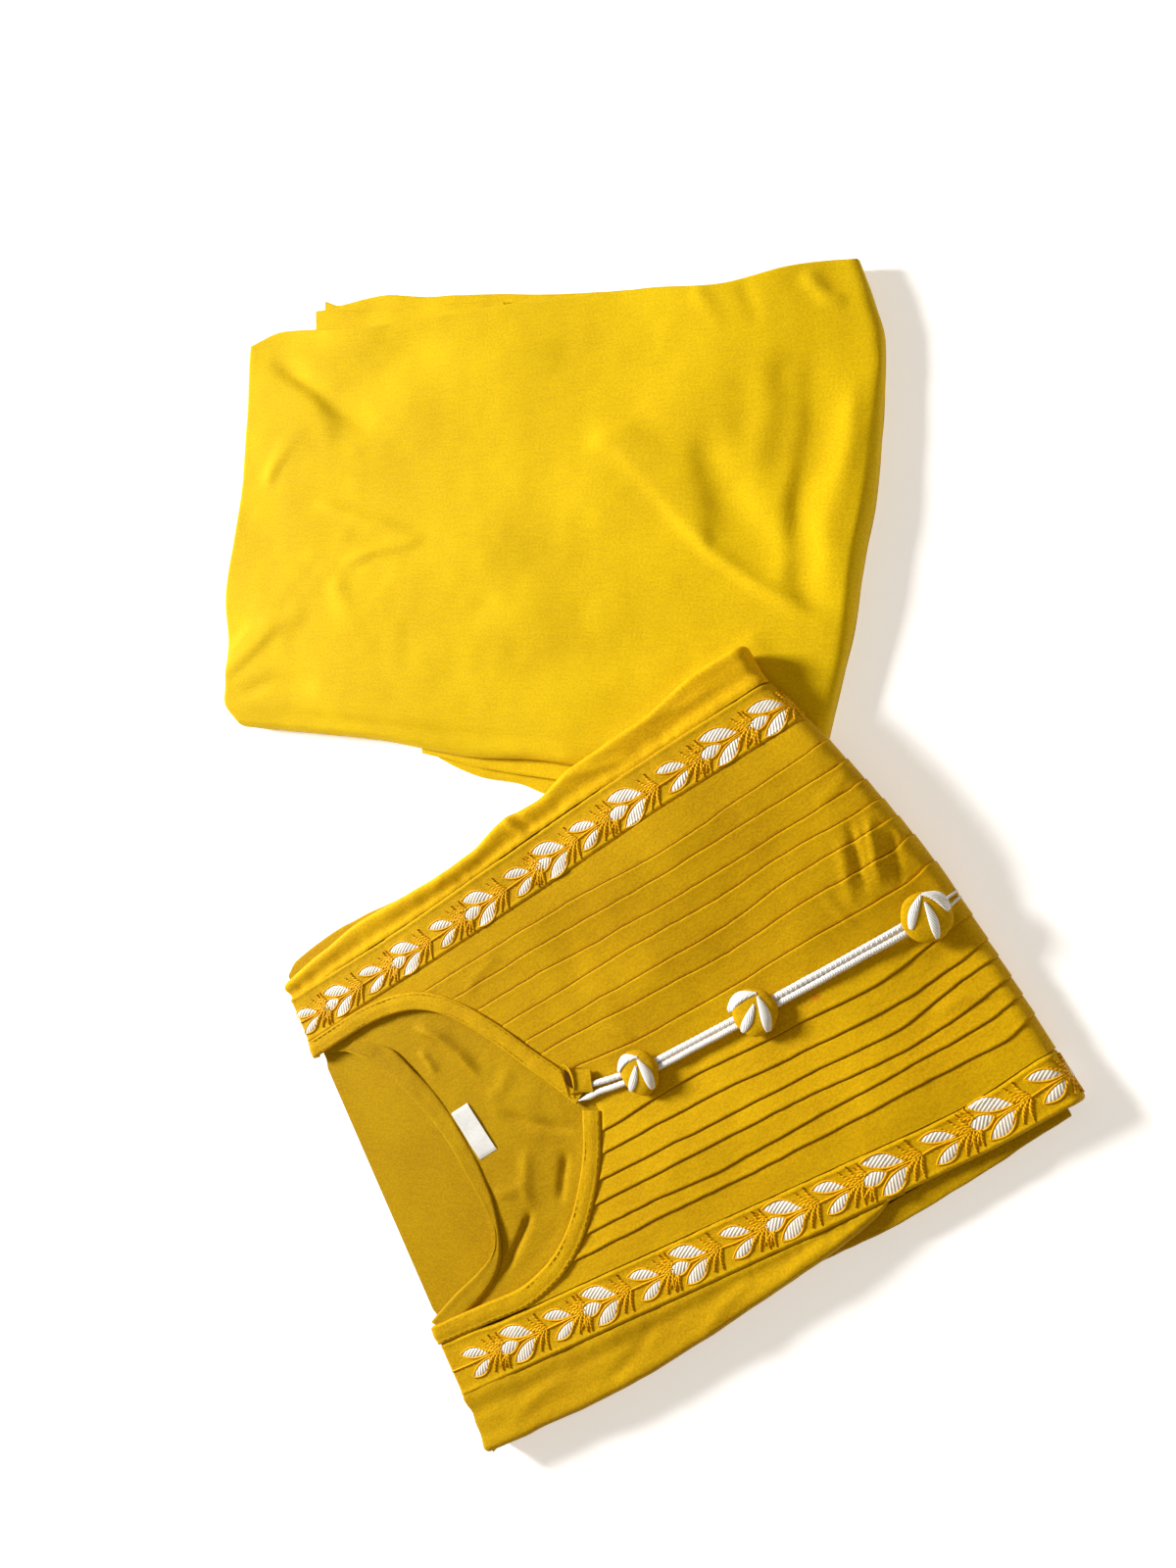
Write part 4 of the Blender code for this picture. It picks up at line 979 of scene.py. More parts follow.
def border(sign, material):
    """An embroidered border, from behind the shoulder edge to under the bottom fold."""
    inside, outside = BANDS[sign]
    first = np.array(BAND_EDGE_SHARES)
    shares = np.concatenate([first, np.linspace(0.15, 0.85, 15), 1 - first[::-1]])
    level = inside[-1][1] + (outside[-1][1] - inside[-1][1]) * shares
    s = stations(level, np.full(len(level), SHOULDER_START), 250, turned=True)
    near, far = seam(inside, sign, s), smooth(outside, s) - sign * SEAM_ROOM
    b = near + (far - near) * shares
    points = front(s, b, band_height(s, b, near, far))
    cloth(f"kurta_border_{SIDE_NAMES[sign]}_cloth", points, pairs(s, b), material)


def side(sign, edge, folds, material, end=None):
    """A plain side of the front with its rolled side fold, soft gathers and creases."""
    shares, turn = np.linspace(0.0, 1.0, 14), math.pi * np.linspace(0.0, 1.0, 15)[1:]
    level = np.full(len(shares) + len(turn), float(edge[-1][1]) - sign * SIDE_RADIUS)
    start = np.full(len(level), SHOULDER_START)
    if end is None:
        s = stations(level, start, 190, turned=True)
    else:
        s = np.concatenate([shoulder_rows(level), start + (end - start) * np.linspace(0, 1, 150)[:, None]])
    at = s[:, :1]
    near = seam(BANDS[sign][1], sign, at)
    inwards = 0.0 if end is None else ease((at - end + 24.0) / 24.0)
    radius = SIDE_RADIUS * (1 - 0.7 * inwards)
    rim_at = smooth(edge, at) - sign * (radius - 0.35 * ripple(at, 0.0, 11.0, 14) + 3.2 * inwards**2)
    flat = near + (rim_at - near) * shares
    fall = radius * (1 - np.cos(turn)) + 0 * at

    def joined(on_top, round_fold):
        return np.concatenate([on_top, round_fold], axis=1)

    b = joined(flat, rim_at + sign * radius * np.sin(turn))
    away = np.abs(flat - near)
    valley = -1.0 * bump(away - 0.36 * np.abs(rim_at - near), 3.2)
    gather = 0.4 * ripple(at, 0.15 * flat, 3.2, 16) * bump(away - 2.0, 3.4)
    bulge = 1.1 * bump(np.abs(rim_at - flat), 3.8) * (1.0 + 0.12 * ripple(at, 3.0, 15.0, 15))
    relief = valley + gather + lumps(at, flat, (0.7, 24.0, 17), (0.14, 7.0, 18)) + bulge
    relief = (relief + 1.5 * creases(at + 0 * flat, flat, folds)) * (1 - inwards) - 1.1 * inwards
    relief = joined(relief, relief[:, -1:] * (1 + np.cos(turn)) / 2) * calm(s, b)
    h = SIDE_SKIN - joined(0.5 * bump(away, 0.6), fall) + relief
    run = joined(flat, rim_at + sign * radius * turn)
    cloth(f"kurta_side_{SIDE_NAMES[sign]}_cloth", front(s, b, h), pairs(s, run), material)


def neck_facing(sign, material):
    """Half of the facing round the front neck, turned in at the neck's edge."""
    profile = np.array(FACING_PROFILE)
    across, heights = profile.T
    t = np.linspace(0, 1, 110)[:, None]
    ends = pairs(shoulder_rows(0.0), NECKS[sign][0][1] + sign * across)
    line = np.concatenate([ends, parallel(NECKS[sign], sign * across + 0 * t, t + 0 * across)])
    s, b = split(line)
    h = heights + lumps(s, b, (0.3, 9.0, 21), (0.12, 3.2, 22)) * (np.arange(len(across)) > 3)
    flat = pairs(run_along(line[:, 7])[:, None], run_along(profile))
    cloth(f"kurta_neck_facing_{SIDE_NAMES[sign]}_cloth", front(s, b, h), flat, material)


def facing_stitches(name, shade):
    """Stitches along both edges of the neck facing."""
    lines = []
    for sign, neck in NECKS.items():
        for inset in FACING_STITCH_INSETS:
            s, b = split(parallel(neck, np.full(260, sign * inset), np.linspace(0.01, 0.985, 260)))
            for ds, db in dashes(s, b, *FACING_STITCH):
                lines.append(front(ds, db, FACING_STITCH_HEIGHT + arch(len(ds), FACING_STITCH_ARCH)))
    threads(name, lines, FACING_STITCH_RADIUS, shade, "kurta_cloth")


def back_edge(b):
    """Where the back panel starts at a place across it."""
    across, along = np.array(BACK_EDGE, float)[::-1].T
    return np.interp(b, across, along)


def back_height(a, b):
    """Height of the inside of the back, seen through the neck."""
    inside = ease((smooth(NECK_UPPER, a) - b) / 8.0) * ease((b - smooth(NECK_LOWER, a)) / 8.0)
    uneven = lumps(a, b, (0.6, 24.0, 31), (0.25, 8.0, 32))
    return BACK_PANEL_Z - 0.1 + (uneven + 2.0 * creases(a, b, BACK_CREASES)) * inside


def back_panel(name, material):
    """The inside of the back, from its neckline to under the front."""
    b = np.linspace(91.5, -71.5, 110)[None, :]
    a = back_edge(b) + (BACK_PANEL_END - back_edge(b)) * np.linspace(0, 1, 100)[:, None]
    b = b + 0 * a
    cloth(name, kurta_place(a, b, back_height(a, b)), pairs(a, b), material)


def back_facing(name, material):
    """The facing inside the back neckline, its edge rolled, turned over at the lower shoulder."""
    share, height = np.array(BACK_FACING_PROFILE).T
    t = np.linspace(0, 1, 170)[:, None]
    inner, outer = curve(BACK_FACING_INNER, t), curve(BACK_FACING_OUTER, t)
    a, b = split(inner + (outer - inner) * share[:, None])
    over = ease((t - 0.62) / 0.12)
    uneven = lumps(a, b, (0.25, 8.0, 34), (0.1, 3.0, 35))
    points = kurta_place(a, b, BACK_FACING_Z - 0.3 + height * (1 + over) + uneven + 0.5 * over)
    cloth(name, points, laid(points), material, wall=FACING_WALL)


def between(corners, u, v):
    """Places between four corners: u goes along the first two and the last two, and v from those to these."""
    corners = np.array(corners)
    low = corners[0] + (corners[1] - corners[0]) * u[..., None]
    high = corners[2] + (corners[3] - corners[2]) * u[..., None]
    return split(low + (high - low) * v[..., None])


def label_tape(name, material):
    """The bare white woven tape inside the back neck."""
    u, v = np.meshgrid(np.linspace(0, 1, 14), np.linspace(0, 1, 30))
    a, b = between(LABEL_CORNERS, u, v)
    wave = 0.25 * ripple(a, b, 9.0, 36) + 0.3 * np.sin(v * math.pi) * u
    fold = -0.5 * (bump(v, 0.03) + bump(1 - v, 0.03))
    points = kurta_place(a, b, back_height(a, b) + 0.85 + wave + fold)
    flat = pairs(u * LABEL_SIZE[0], v * LABEL_SIZE[1])
    cloth(name, points, flat, material, LABEL_WALL)


def neck_tab(name, material):
    """The flattened loop of cloth at the top of the slit, open at its end."""
    u = np.linspace(0, 1, 24)[:, None]
    turn = np.linspace(0, 2 * math.pi, 41)[None, :]
    a, b = between(TAB_CORNERS, u, 0.5 - 0.5 * np.cos(turn) * (1 - 0.12 * np.sin(u * math.pi)))
    over, under = np.clip(np.sin(turn), 0, 1), np.clip(-np.sin(turn), 0, 1)
    z = TAB_Z + over * (1.2 + 0.9 * (1 - u) ** 2) - 0.5 * under + 1.1 * np.sqrt(under) * bump(u, 0.05)
    points = kurta_place(a + 6.4 * over**0.7 * (1 - u) ** 4, b, z + 0.15 * ripple(a, b, 4.0, 37))
    flat = pairs(u * TAB_SIZE[0], turn / (2 * math.pi) * TAB_SIZE[1])
    cloth(name, points, flat, material, wall=TAB_WALL)


def tab_painted_shade(name, material):
    """A dark pad that paints the shade in the hollow between the loop's two layers."""
    u, v = np.linspace(0, 1, 15)[:, None], np.linspace(-1, 1, 7)[None, :]
    a = -8.0 + 0.2 * u + 2.4 * np.sin(math.pi * (0.03 + 0.94 * u**1.5)) * v
    b = 15.6 - 11.0 * u + 0 * v
    points = kurta_place(a, b, TAB_Z + 0.3 + 0.1 * (1 - v * v))
    patches(name, [(points, pairs(a, b), 0.3)], material)


def layer_edge(edge, inner, room, profile, count, spare, waver):
    """The edge of a layer that shows past another: places along and across it, its profile and its fall."""
    out, fall = np.array(profile).T
    along = np.linspace(edge[0][0], edge[-1][0], count)[:, None]
    outside, within = smooth(edge, along), smooth(inner, along) + room
    way = np.where(outside > within, 1.0, -1.0)
    width = np.maximum(np.abs(outside - within) + spare, 0.8)
    return along, outside + way * np.maximum(out, -width) + lumps(along, 0.0, waver), out, fall


def sleeve(sign, material):
    """The folded edges of a sleeve that show past the side, doubled back on itself."""
    edge, inner, top = SLEEVES[sign]
    a, b, out, fall = layer_edge(edge, inner, 0.0, SLEEVE_PROFILE, 90, 1.5, (0.3, 9.0, 41))
    wave = (0.35 * ripple(a, 0.0, 12.0, 42) + 0.12 * ripple(a, out, 5.0, 43)) * (fall > -1.4)
    points = kurta_place(a + 0 * b, b, top + fall + wave)
    cloth(f"kurta_sleeve_{SIDE_NAMES[sign]}_cloth", points, laid(points), material, wall=SLEEVE_WALL)


def layers_nose(z):
    """How far the hidden layers reach into the bottom fold at a height."""
    if z < 2.7:
        return -FOLD_RADIUS - FOLD_LIP - 0.6
    room = (FOLD_RADIUS - 2.9) ** 2 - (z - FOLD_RADIUS) ** 2
    return math.sqrt(max(room, 0.0)) - FOLD_RADIUS


def layered(z, layers):
    """How far in the side of stacked layers lies at a height: out at each fold, in between two."""
    for low, high, inset in layers:
        if low <= z <= high:
            middle, half = (low + high) / 2, (high - low) / 2
            return inset + 0.85 * half * (1 - math.sqrt(max(1 - ((z - middle) / half) ** 2, 0.0)))
    return 1.6


def kurta_layers(name, material):
    """The kurta's hidden layers: a folded lower part, and a narrower part inside the side folds."""
    heights = [(z, True) for z in UPPER_LAYER_HEIGHTS] + [(z, False) for z in np.linspace(*LOWER_LAYER_HEIGHTS)]
    shares = np.concatenate([np.linspace(0.0, 0.94, 22), [1.0]])
    middle = np.linspace(-125.0, 160.0, 60)
    side_turn = SIDE_RADIUS + 0.9

    def grid(z, inset, upper):
        columns = []
        for share in shares:
            end = fold_start(np.interp(share, (0, 1), LAYERS_AT_FOLD)) + FOLD_RADIUS
            last = [end - 15.2, end - 14.5, end + layers_nose(z)]
            a = np.concatenate([[KURTA_LEFT + 2.5], np.minimum(middle, end - 17.0), last])
            whole = upper | (np.arange(len(a)) > len(middle) + 1)
            top = smooth(UPPER_EDGE, a) - np.where(whole, side_turn, inset + 0.3 * ripple(a, z, 9.0, 45))
            low = np.where(whole, smooth(LOWER_EDGE, a), smooth(LOWER_LAYERS_EDGE, a))
            low = low + np.where(whole, side_turn, inset + 0.3 * ripple(a, z, 9.0, 46))
            b = low + (top - low) * share
            if upper and not -60.0 < b[0] < 82.0:
                a[0] = KURTA_LEFT + 2 * SHOULDER_RADIUS
            columns.append(kurta_place(a, b, z))
        return np.stack(columns, axis=1)

    rings = [around(grid(z, layered(z, KURTA_LAYER_STEPS), upper)) for z, upper in heights]
    top, bottom = grid(9.2, 0.0, True), grid(0.05, 2.4, False)
    stack(name, top, rings, bottom, material, ["kurta_folded_layers"])


def cord(sign, material):
    """One of the two twisted cords sewn along the slit, turned down over the fold."""
    start, taper = (-0.5, 3.0) if sign > 0 else (-8.8, 6.5)
    s = np.concatenate([np.arange(start, 182.0, 0.55), 182.0 + np.linspace(0.6, 16.0, 24)])[:, None]
    turn = np.linspace(0, 2 * math.pi, 19)[None, :]
    half_gap = smooth(CORD_PITCH, s) / 2
    across = smooth(CORD_LINE, s) + sign * half_gap + 0.12 * ripple(s, sign * 20.0, 7.0, 51)
    ply = 0.5 + 0.5 * np.cos(2 * (turn - sign * s * 2 * math.pi / 5.2))
    thin = 1 - 0.6 * ease((s - 180.0) / 10.0)
    size = (0.9 + 0.14 * ply) * (0.3 + 0.7 * ease((s - start) / taper)) * thin
    b = across + 1.5 * size * np.sin(turn)
    h = CORD_HEIGHT + 0.55 - 2.4 * (1 - thin) + 1.25 * size * np.cos(turn) + 0.1 * ripple(s, sign * 9.0, 12.0, 52)
    piece = grid_piece(front(s + 0 * b, b, h), pairs(s, turn * 1.4))
    close_mesh(piece)
    bpy.ops.object.shade_smooth()
    node_name = f"kurta_cord_{SIDE_NAMES[sign]}"
    finish_piece(piece, f"{node_name}_twist", material, [node_name])


def close_mesh(piece):
    """Merges the edges that meet, fills the open ends and turns the faces outwards."""
    choose(piece)
    bpy.ops.object.mode_set(mode="EDIT")
    bpy.ops.mesh.select_all(action="SELECT")
    bpy.ops.mesh.remove_doubles(threshold=0.00002)
    bpy.ops.mesh.select_all(action="DESELECT")
    bpy.ops.mesh.select_non_manifold()
    bpy.ops.mesh.edge_face_add()
    bpy.ops.mesh.select_all(action="SELECT")
    bpy.ops.mesh.normals_make_consistent(inside=False)
    bpy.ops.object.mode_set(mode="OBJECT")


def dome(share):
    """Height of a button over its base at a share of its radius."""
    return 0.9 + 3.4 * (1 - np.clip(share, 0.0, 1.0) ** 2.6) ** 0.6


def button(number, at, cloth_material, petal_material):
    """A cloth-covered button with satin petals, lying on the cords."""
    middle = float(smooth(CORD_LINE, at))
    deselect()
    bpy.ops.mesh.primitive_uv_sphere_add(segments=56, ring_count=32, radius=1.0)
    body = bpy.context.object
    sphere = np.empty(len(body.data.vertices) * 3, np.float32)
    body.data.vertices.foreach_get("co", sphere)
    x, y, z = sphere.reshape(-1, 3).astype(float).T
    share = np.hypot(x, y)
    angle = np.arctan2(y, x)
    waver = 1 + 0.02 * np.sin(3 * angle + number) + 0.012 * np.sin(7 * angle + 2 * number)
    length = BUTTON_LENGTHS[number - 1]
    height = np.where(z >= 0, dome(share) + 0.1 * ripple(x * 10, y * 10, 3.0, 60 + number), 0.9 * (share**6))
    points = kurta_place(
        at + BUTTON_RADIUS * x * waver * length, middle + BUTTON_RADIUS * y * waver, BUTTON_BASE + height,
    )
    body.data.vertices.foreach_set("co", (points * MM).astype(np.float32).ravel())
    set_map(body.data, pairs(x, y) * BUTTON_RADIUS)
    body.data.update()
    bpy.ops.object.shade_smooth()
    finish_piece(body, f"kurta_button_{number}_cover", cloth_material, [f"kurta_button_{number}"])
    pads = [petal(at, middle, *shape) for shape in PETALS[number - 1]]
    patches(f"kurta_button_{number}_petals", pads, petal_material)


def bent(start, end, bow, half, u, v):
    """Places and map of a shape bent along a line: u from its start to its end, v across its half widths."""
    way = np.array(end) - np.array(start)
    length = math.hypot(*way)
    across = np.array((-way[1], way[0])) / length
    bend = bow * np.sin(math.pi * u) + half * v
    return np.array(start) + way * u[..., None] + across * bend[..., None], pairs(u * length, v * half)


def petal(at, middle, start, end, bow, width):
    """A satin petal bent along a line over a button's dome."""
    u, v = np.linspace(0, 1, 22)[:, None], np.linspace(-1, 1, 11)[None, :]
    half = width / 2 * np.clip(np.sin(math.pi * (0.03 + 0.9 * u**1.25)), 0, 1) ** 0.6
    place, flat = bent(start, end, bow, half, u, v)
    along, across = split(place)
    share = np.hypot(along, across) / BUTTON_RADIUS
    z = BUTTON_BASE + dome(np.minimum(share, 0.995)) + 0.15 + 0.75 * rounded(v) * half / 1.8
    return kurta_place(at + along, middle + across, z), flat, PETAL_WALL


# The embroidery


def band_edges(sign, s):
    return [smooth(line, s) for line in BANDS[sign]]


def on_band(s, b, sign):
    """Height of a border's cloth at a place."""
    return band_height(s, b, *band_edges(sign, s))


def stem_line(s, sign):
    """Where the gold stem runs along a border."""
    return sum(band_edges(sign, s)) / 2 + STEM_SHIFT[sign] + 0.5 * ripple(s, sign * 30.0, 11.0, 71)


def leaf_half(u, width):
    """Half width of a leaf along it, from its free end to its tip."""
    return width / 2 * np.clip(1 - np.abs(2 * u**0.94 - 1) ** 1.9, 0.03, 1)


def leaf(start, end, width, bow, sign):
    """A padded satin leaf on a border."""
    u, v = np.linspace(0, 1, 17)[:, None], np.linspace(-1, 1, 9)[None, :]
    half = leaf_half(u, width)
    place, flat = bent(start, end, bow, half, u, v)
    s, b = split(place)
    h = on_band(s, b, sign) + 0.12 + 0.55 * rounded(v) * half / (width / 2)
    return front(s, b, h), flat, LEAF_WALL


def outline(start, end, width, bow, sign):
    """The gold thread round a leaf."""
    u = np.linspace(0, 1, 17)[:, None]
    place, _ = bent(start, end, bow, leaf_half(u, width + 0.7), u, np.array([[1.0, -1.0]]))
    s, b = split(np.concatenate([place[:, 0], place[::-1, 1], place[:1, 0]]))
    return front(s, b, on_band(s, b, sign) + 0.22)


def needle(start, end, width, bow, sign):
    """One narrow gold leaf of a sprig."""
    u, v = np.linspace(0, 1, 9)[:, None], np.linspace(-1, 1, 5)[None, :]
    half = width / 2 * (0.4 + 0.6 * np.sin(math.pi * u**0.7)) * (1 - 0.9 * u**5)
    place, flat = bent(start, end, bow, half, u, v)
    s, b = split(place)
    return front(s, b, on_band(s, b, sign) + 0.12 + 0.65 * rounded(v)), flat, NEEDLE_WALL


def stem_runs(sprays):
    """Stretches of the stem, left out where a spray's middle leaf covers it."""
    runs, at = [], KURTA_LEFT + 1.0
    for place, kind in sprays:
        if kind != "small":
            runs.append((at, place - 10.5))
            at = place
    return [*runs, (at, 200.0)]


def embroidery(sign, leaf_material, gold, gold_silk):
    """The sprays along a border: silver leaves in gold outlines, a stem and fanned sprigs."""
    leaves, lines, needles = [], [], []

    def add_leaf(*shape):
        leaves.append(leaf(*shape, sign))
        lines.append(outline(*shape, sign))

    for at, kind in SPRAYS[sign]:
        shift = 0.6 * float(ripple(float(at), 10.0 * sign, 7.0, 73))
        size, spread, width = SPRAY_KINDS[kind]
        size *= 1 + 0.04 * float(ripple(at * 1.0, 3.0, 5.0, 74))
        tip = at + 9.0 * size + shift
        stem = float(stem_line(tip, sign))
        for way in (1, -1):
            start = (tip - (17.5 if way > 0 else 15.5) * size, stem + way * spread * size)
            add_leaf(start, (tip, stem + way * 0.9), width * size, way * 0.8)
        if kind != "small":
            add_leaf((tip - 21.0 * size, stem - 0.2), (tip - 9.0 * size, stem + 0.1), 5.4 * size, 0.1)
            for way in (1, -1):
                start = (tip - 16.5 * size, stem + way * 2.6)
                for reach, rise in TOP_NEEDLES:
                    end = (start[0] - reach, stem + way * (2.0 + rise))
                    needles.append(needle(start, end, 1.5, way * 0.6, sign))
        base = tip + 4.6
        root = float(stem_line(base, sign))
        for way in (1, -1):
            for step, reach, rise in SPRIG_NEEDLES:
                end = (base + step - reach + shift, root + way * rise)
                needles.append(needle((base + step, root + way * 0.3), end, 2.0, way * 0.9, sign))
    for first, last in stem_runs(SPRAYS[sign]):
        s = np.arange(first, last, 0.8)
        b = stem_line(s, sign)
        lines.append(front(s, b, on_band(s, b, sign) + 0.3 + 0.1 * np.sin(s * 2 * math.pi / 2.6)))
    name = SIDE_NAMES[sign]
    patches(f"kurta_{name}_leaves", leaves, leaf_material)
    patches(f"kurta_{name}_needles", needles, gold_silk)
    threads(f"kurta_{name}_gold_threads", lines, GOLD_RADIUS, gold, "kurta_border", sides=2)


# The pant


def pant_place(u, v):
    """A place on the pant's footprint, from its four edges."""
    u, v = np.broadcast_arrays(np.asarray(u, float), v)
    bottom, top = curve(PANT_BOTTOM, u), curve(PANT_TOP_EDGE, u)
    left, right = curve(PANT_LEFT, v), curve(PANT_RIGHT, v)
    u, v = u[..., None], v[..., None]
    front_line = (1 - u) * np.array(PANT_BOTTOM[0], float) + u * np.array(PANT_BOTTOM[-1], float)
    back_line = (1 - u) * np.array(PANT_TOP_EDGE[0], float) + u * np.array(PANT_TOP_EDGE[-1], float)
    flat = (1 - v) * front_line + v * back_line
    return (1 - v) * bottom + v * top + (1 - u) * left + u * right - flat


def pant_at(u, v, left, right, bottom, top):
    """The same, drawn in from the four edges."""
    u = left / PANT_LENGTH + u * (1 - (left + right) / PANT_LENGTH)
    v = bottom / PANT_WIDTH + v * (1 - (bottom + top) / PANT_WIDTH)
    return pant_place(u, v)


def pant_points(x, y, z):
    """Places in the frame, from places from the pant's middle and heights."""
    return np.stack(np.broadcast_arrays(x + PANT_MIDDLE[0], y + PANT_MIDDLE[1], z), axis=-1)


def pant_relief(x, y):
    """Creases and unevenness of the pant's sheet at a place from its middle, none under the kurta."""
    uneven = 2.2 * ripple(x, y, 64.0, 81) + 1.4 * ripple(x * 0.8, y, 31.0, 82) + 0.2 * ripple(x, y, 9.0, 83) - 0.3
    height = uneven + 2.2 * creases(x, y, PANT_CREASES)
    most = np.where(height > 0, 2.0, 2.6)
    height = most * np.tanh(height / most)
    dx, dy = x + PANT_MIDDLE[0] - KURTA_NECK[0], y + PANT_MIDDLE[1] - KURTA_NECK[1]
    a = dx * math.cos(KURTA_TURN) + dy * math.sin(KURTA_TURN)
    b = dy * math.cos(KURTA_TURN) - dx * math.sin(KURTA_TURN)
    covered = ease((smooth(UPPER_EDGE, a) + 9.0 - b) / 8.0) * ease((fold_start(b) + FOLD_RADIUS + 9.0 - a) / 8.0)
    return height * (1 - covered) - 0.3 * covered


def turned_rows(radius, drop, steps):
    """Rows of a turned edge, from flat to hanging: inset, drop and run of cloth."""
    turn = math.pi / 2 * np.arange(steps + 1) / steps
    inset, fall, run = radius * (1 - np.sin(turn)), radius * (1 - np.cos(turn)), radius * turn
    more = np.linspace(radius, drop, 4)[1:] if drop > radius else np.array([])
    inset = np.concatenate([inset, 0 * more])
    run = np.concatenate([run, run[-1] + more - radius])
    return np.stack([inset, np.concatenate([fall, more]), run], axis=-1)


def sheet_span(first, last, count, length):
    """From one turned edge of the sheet to the other: shares, both insets, the drop and the run of cloth."""
    start, end = turned_rows(*SHEET_EDGES[first])[::-1], turned_rows(*SHEET_EDGES[last])
    inner = np.linspace(0, 1, count)[1:-1]
    return (
        np.concatenate([0 * start[:, 0], inner, 1 + 0 * end[:, 0]]),
        np.concatenate([start[:, 0], np.full(len(inner) + len(end), SHEET_EDGES[first][0])]),
        np.concatenate([np.full(len(start) + len(inner), SHEET_EDGES[last][0]), end[:, 0]]),
        np.concatenate([start[:, 1], 0 * inner, end[:, 1]]),
        np.concatenate([-start[:, 2], inner * length, length + end[:, 2]]),
    )


def pant_sheet(name, material):
    """The upper leg: the sheet on top with its creases, turned down over the right and bottom folds."""
    u, left_in, right_in, drop_u, run_u = sheet_span("left", "right", 170, PANT_LENGTH)
    lines = sheet_span("bottom", "top", 114, PANT_WIDTH)
    v, bottom_in, top_in, drop_v, run_v = (line[:, None] for line in lines)
    x, y = split(pant_at(u, v, left_in, right_in, bottom_in, top_in))
    fall = np.maximum(drop_u, drop_v)
    waver = 0.35 * ripple(x, y, 12.0, 85) * np.minimum(fall / 2.0, 1.0)
    z = PANT_TOP - fall + pant_relief(x, y) * (1 - np.minimum(fall / 3.0, 1.0)) + waver
    points = pant_points(x, y, z)
    cloth(name, points, pairs(run_u, run_v), material, PANT_WALL)


def pant_layers(name, material):
    """The pant's hidden layers, with the folded edges of its layers round the side."""
    u, v = np.linspace(0, 1, 70)[:, None], np.linspace(0, 1, 48)[None, :]

    def grid(z, insets, waver=0.0):
        place = pant_at(u + 0 * v, v + 0 * u, *insets)
        uneven = waver * ripple(place[..., 0], place[..., 1] + 7.0 * z, 13.0, 87)
        out = place / np.maximum(np.linalg.norm(place, axis=-1, keepdims=True), 1.0)
        return pant_points(*split(place + out * uneven[..., None]), z)

    levels = np.linspace(10.2, 0.2, 46)
    rings = [around(grid(z, [layered(z, steps) for steps in PANT_LAYER_STEPS], 0.3)) for z in levels]
    top = grid(10.6, (3.4, 4.2, 4.4, 3.4))
    top[..., 2] -= 1.5 * ease(20 * u * (1 - u)) * ease(16 * v * (1 - v))
    bottom = grid(0.05, (2.6, 2.6, 2.6, 2.6))
    stack(name, top, rings, bottom, material, ["pant_folded_layers"])


def pant_layer(name, edge, inner, room, top, hem_step, material):
    """An under layer that shows past the sheet, with its folded or hemmed edge."""
    x, y, out, fall = layer_edge(edge, inner, room, HEM_PROFILE, 120, 2.0, (0.25, 10.0, 91))
    wave = (0.35 * ripple(x, 0.0, 17.0, 92) + 0.12 * ripple(x, out, 6.0, 93)) * (fall > -0.7)
    points = pant_points(x, y, top + fall - hem_step * (out < -6.5) + wave)
    name = f"pant_{name}_cloth"
    cloth(name, points, laid(points), material, PANT_LAYER_WALL)


# Settings, operators and panel


def tone(colour, share):
    return tuple(min(c * share, 1.0) for c in colour)


class KurtaSetColours(bpy.types.PropertyGroup):
    """Colours of the set."""

    kurta: bpy.props.FloatVectorProperty(
        name="Kurta", description="Cloth of the kurta", subtype="COLOR", size=3, min=0, max=1,
        default=(0.64, 0.392, 0.001),
    )
    pant: bpy.props.FloatVectorProperty(
        name="Pant", description="Cloth of the pant", subtype="COLOR", size=3, min=0, max=1,
        default=(0.76, 0.52, 0.001),
    )
    silver: bpy.props.FloatVectorProperty(
        name="Leaves", description="Silver thread of the leaves", subtype="COLOR", size=3, min=0, max=1,
        default=(0.88, 0.85, 0.78),
    )
    gold: bpy.props.FloatVectorProperty(
        name="Gold thread", description="Outlines, stems and sprigs", subtype="COLOR", size=3, min=0, max=1,
        default=(0.7, 0.36, 0.004),
    )
    white: bpy.props.FloatVectorProperty(
        name="Cords and label", description="White cords and tape", subtype="COLOR", size=3, min=0, max=1,
        default=(0.93, 0.93, 0.92),
    )


class KurtaSetSizes(bpy.types.PropertyGroup):
    """Sizes of the cloth's detail."""

    kurta_thread: bpy.props.FloatProperty(
        name="Kurta weave", description="From one thread of the kurta to the next", unit="LENGTH", default=0.00045,
    )
    pant_thread: bpy.props.FloatProperty(
        name="Pant weave", description="From one thread of the pant to the next", unit="LENGTH", default=0.00055,
    )


class KurtaSet(bpy.types.PropertyGroup):
    """Settings of the kurta set."""

    colours: bpy.props.PointerProperty(type=KurtaSetColours)
    sizes: bpy.props.PointerProperty(type=KurtaSetSizes)


def kurta_cloth(context, name="kurta cotton"):
    """The kurta's cloth, darker on the lower side and inside as painted shade, and brighter on the upper side as
    painted light.
    """
    settings = context.scene.kurta_set
    colour = tone(settings.colours.kurta, KURTA_CLOTHS[name])
    return bpy.data.materials.get(name) or woven(
        name, colour, (colour[0] * 0.76, colour[1] * 0.64, colour[2]), tone(colour, 1.22),
        settings.sizes.kurta_thread, (160.0, 420.0, 1.0), 0.25, KURTA_STAIN,
    )


def pant_cloth(context, name="pant slub cotton"):
    settings = context.scene.kurta_set
    colour = tuple(settings.colours.pant)
    return bpy.data.materials.get(name) or woven(
        name, colour, (colour[0] * 0.82, colour[1] * 0.75, colour[2]), tone(colour, 1.18),
        settings.sizes.pant_thread, (70.0, 700.0, 1.0), 0.35,
    )


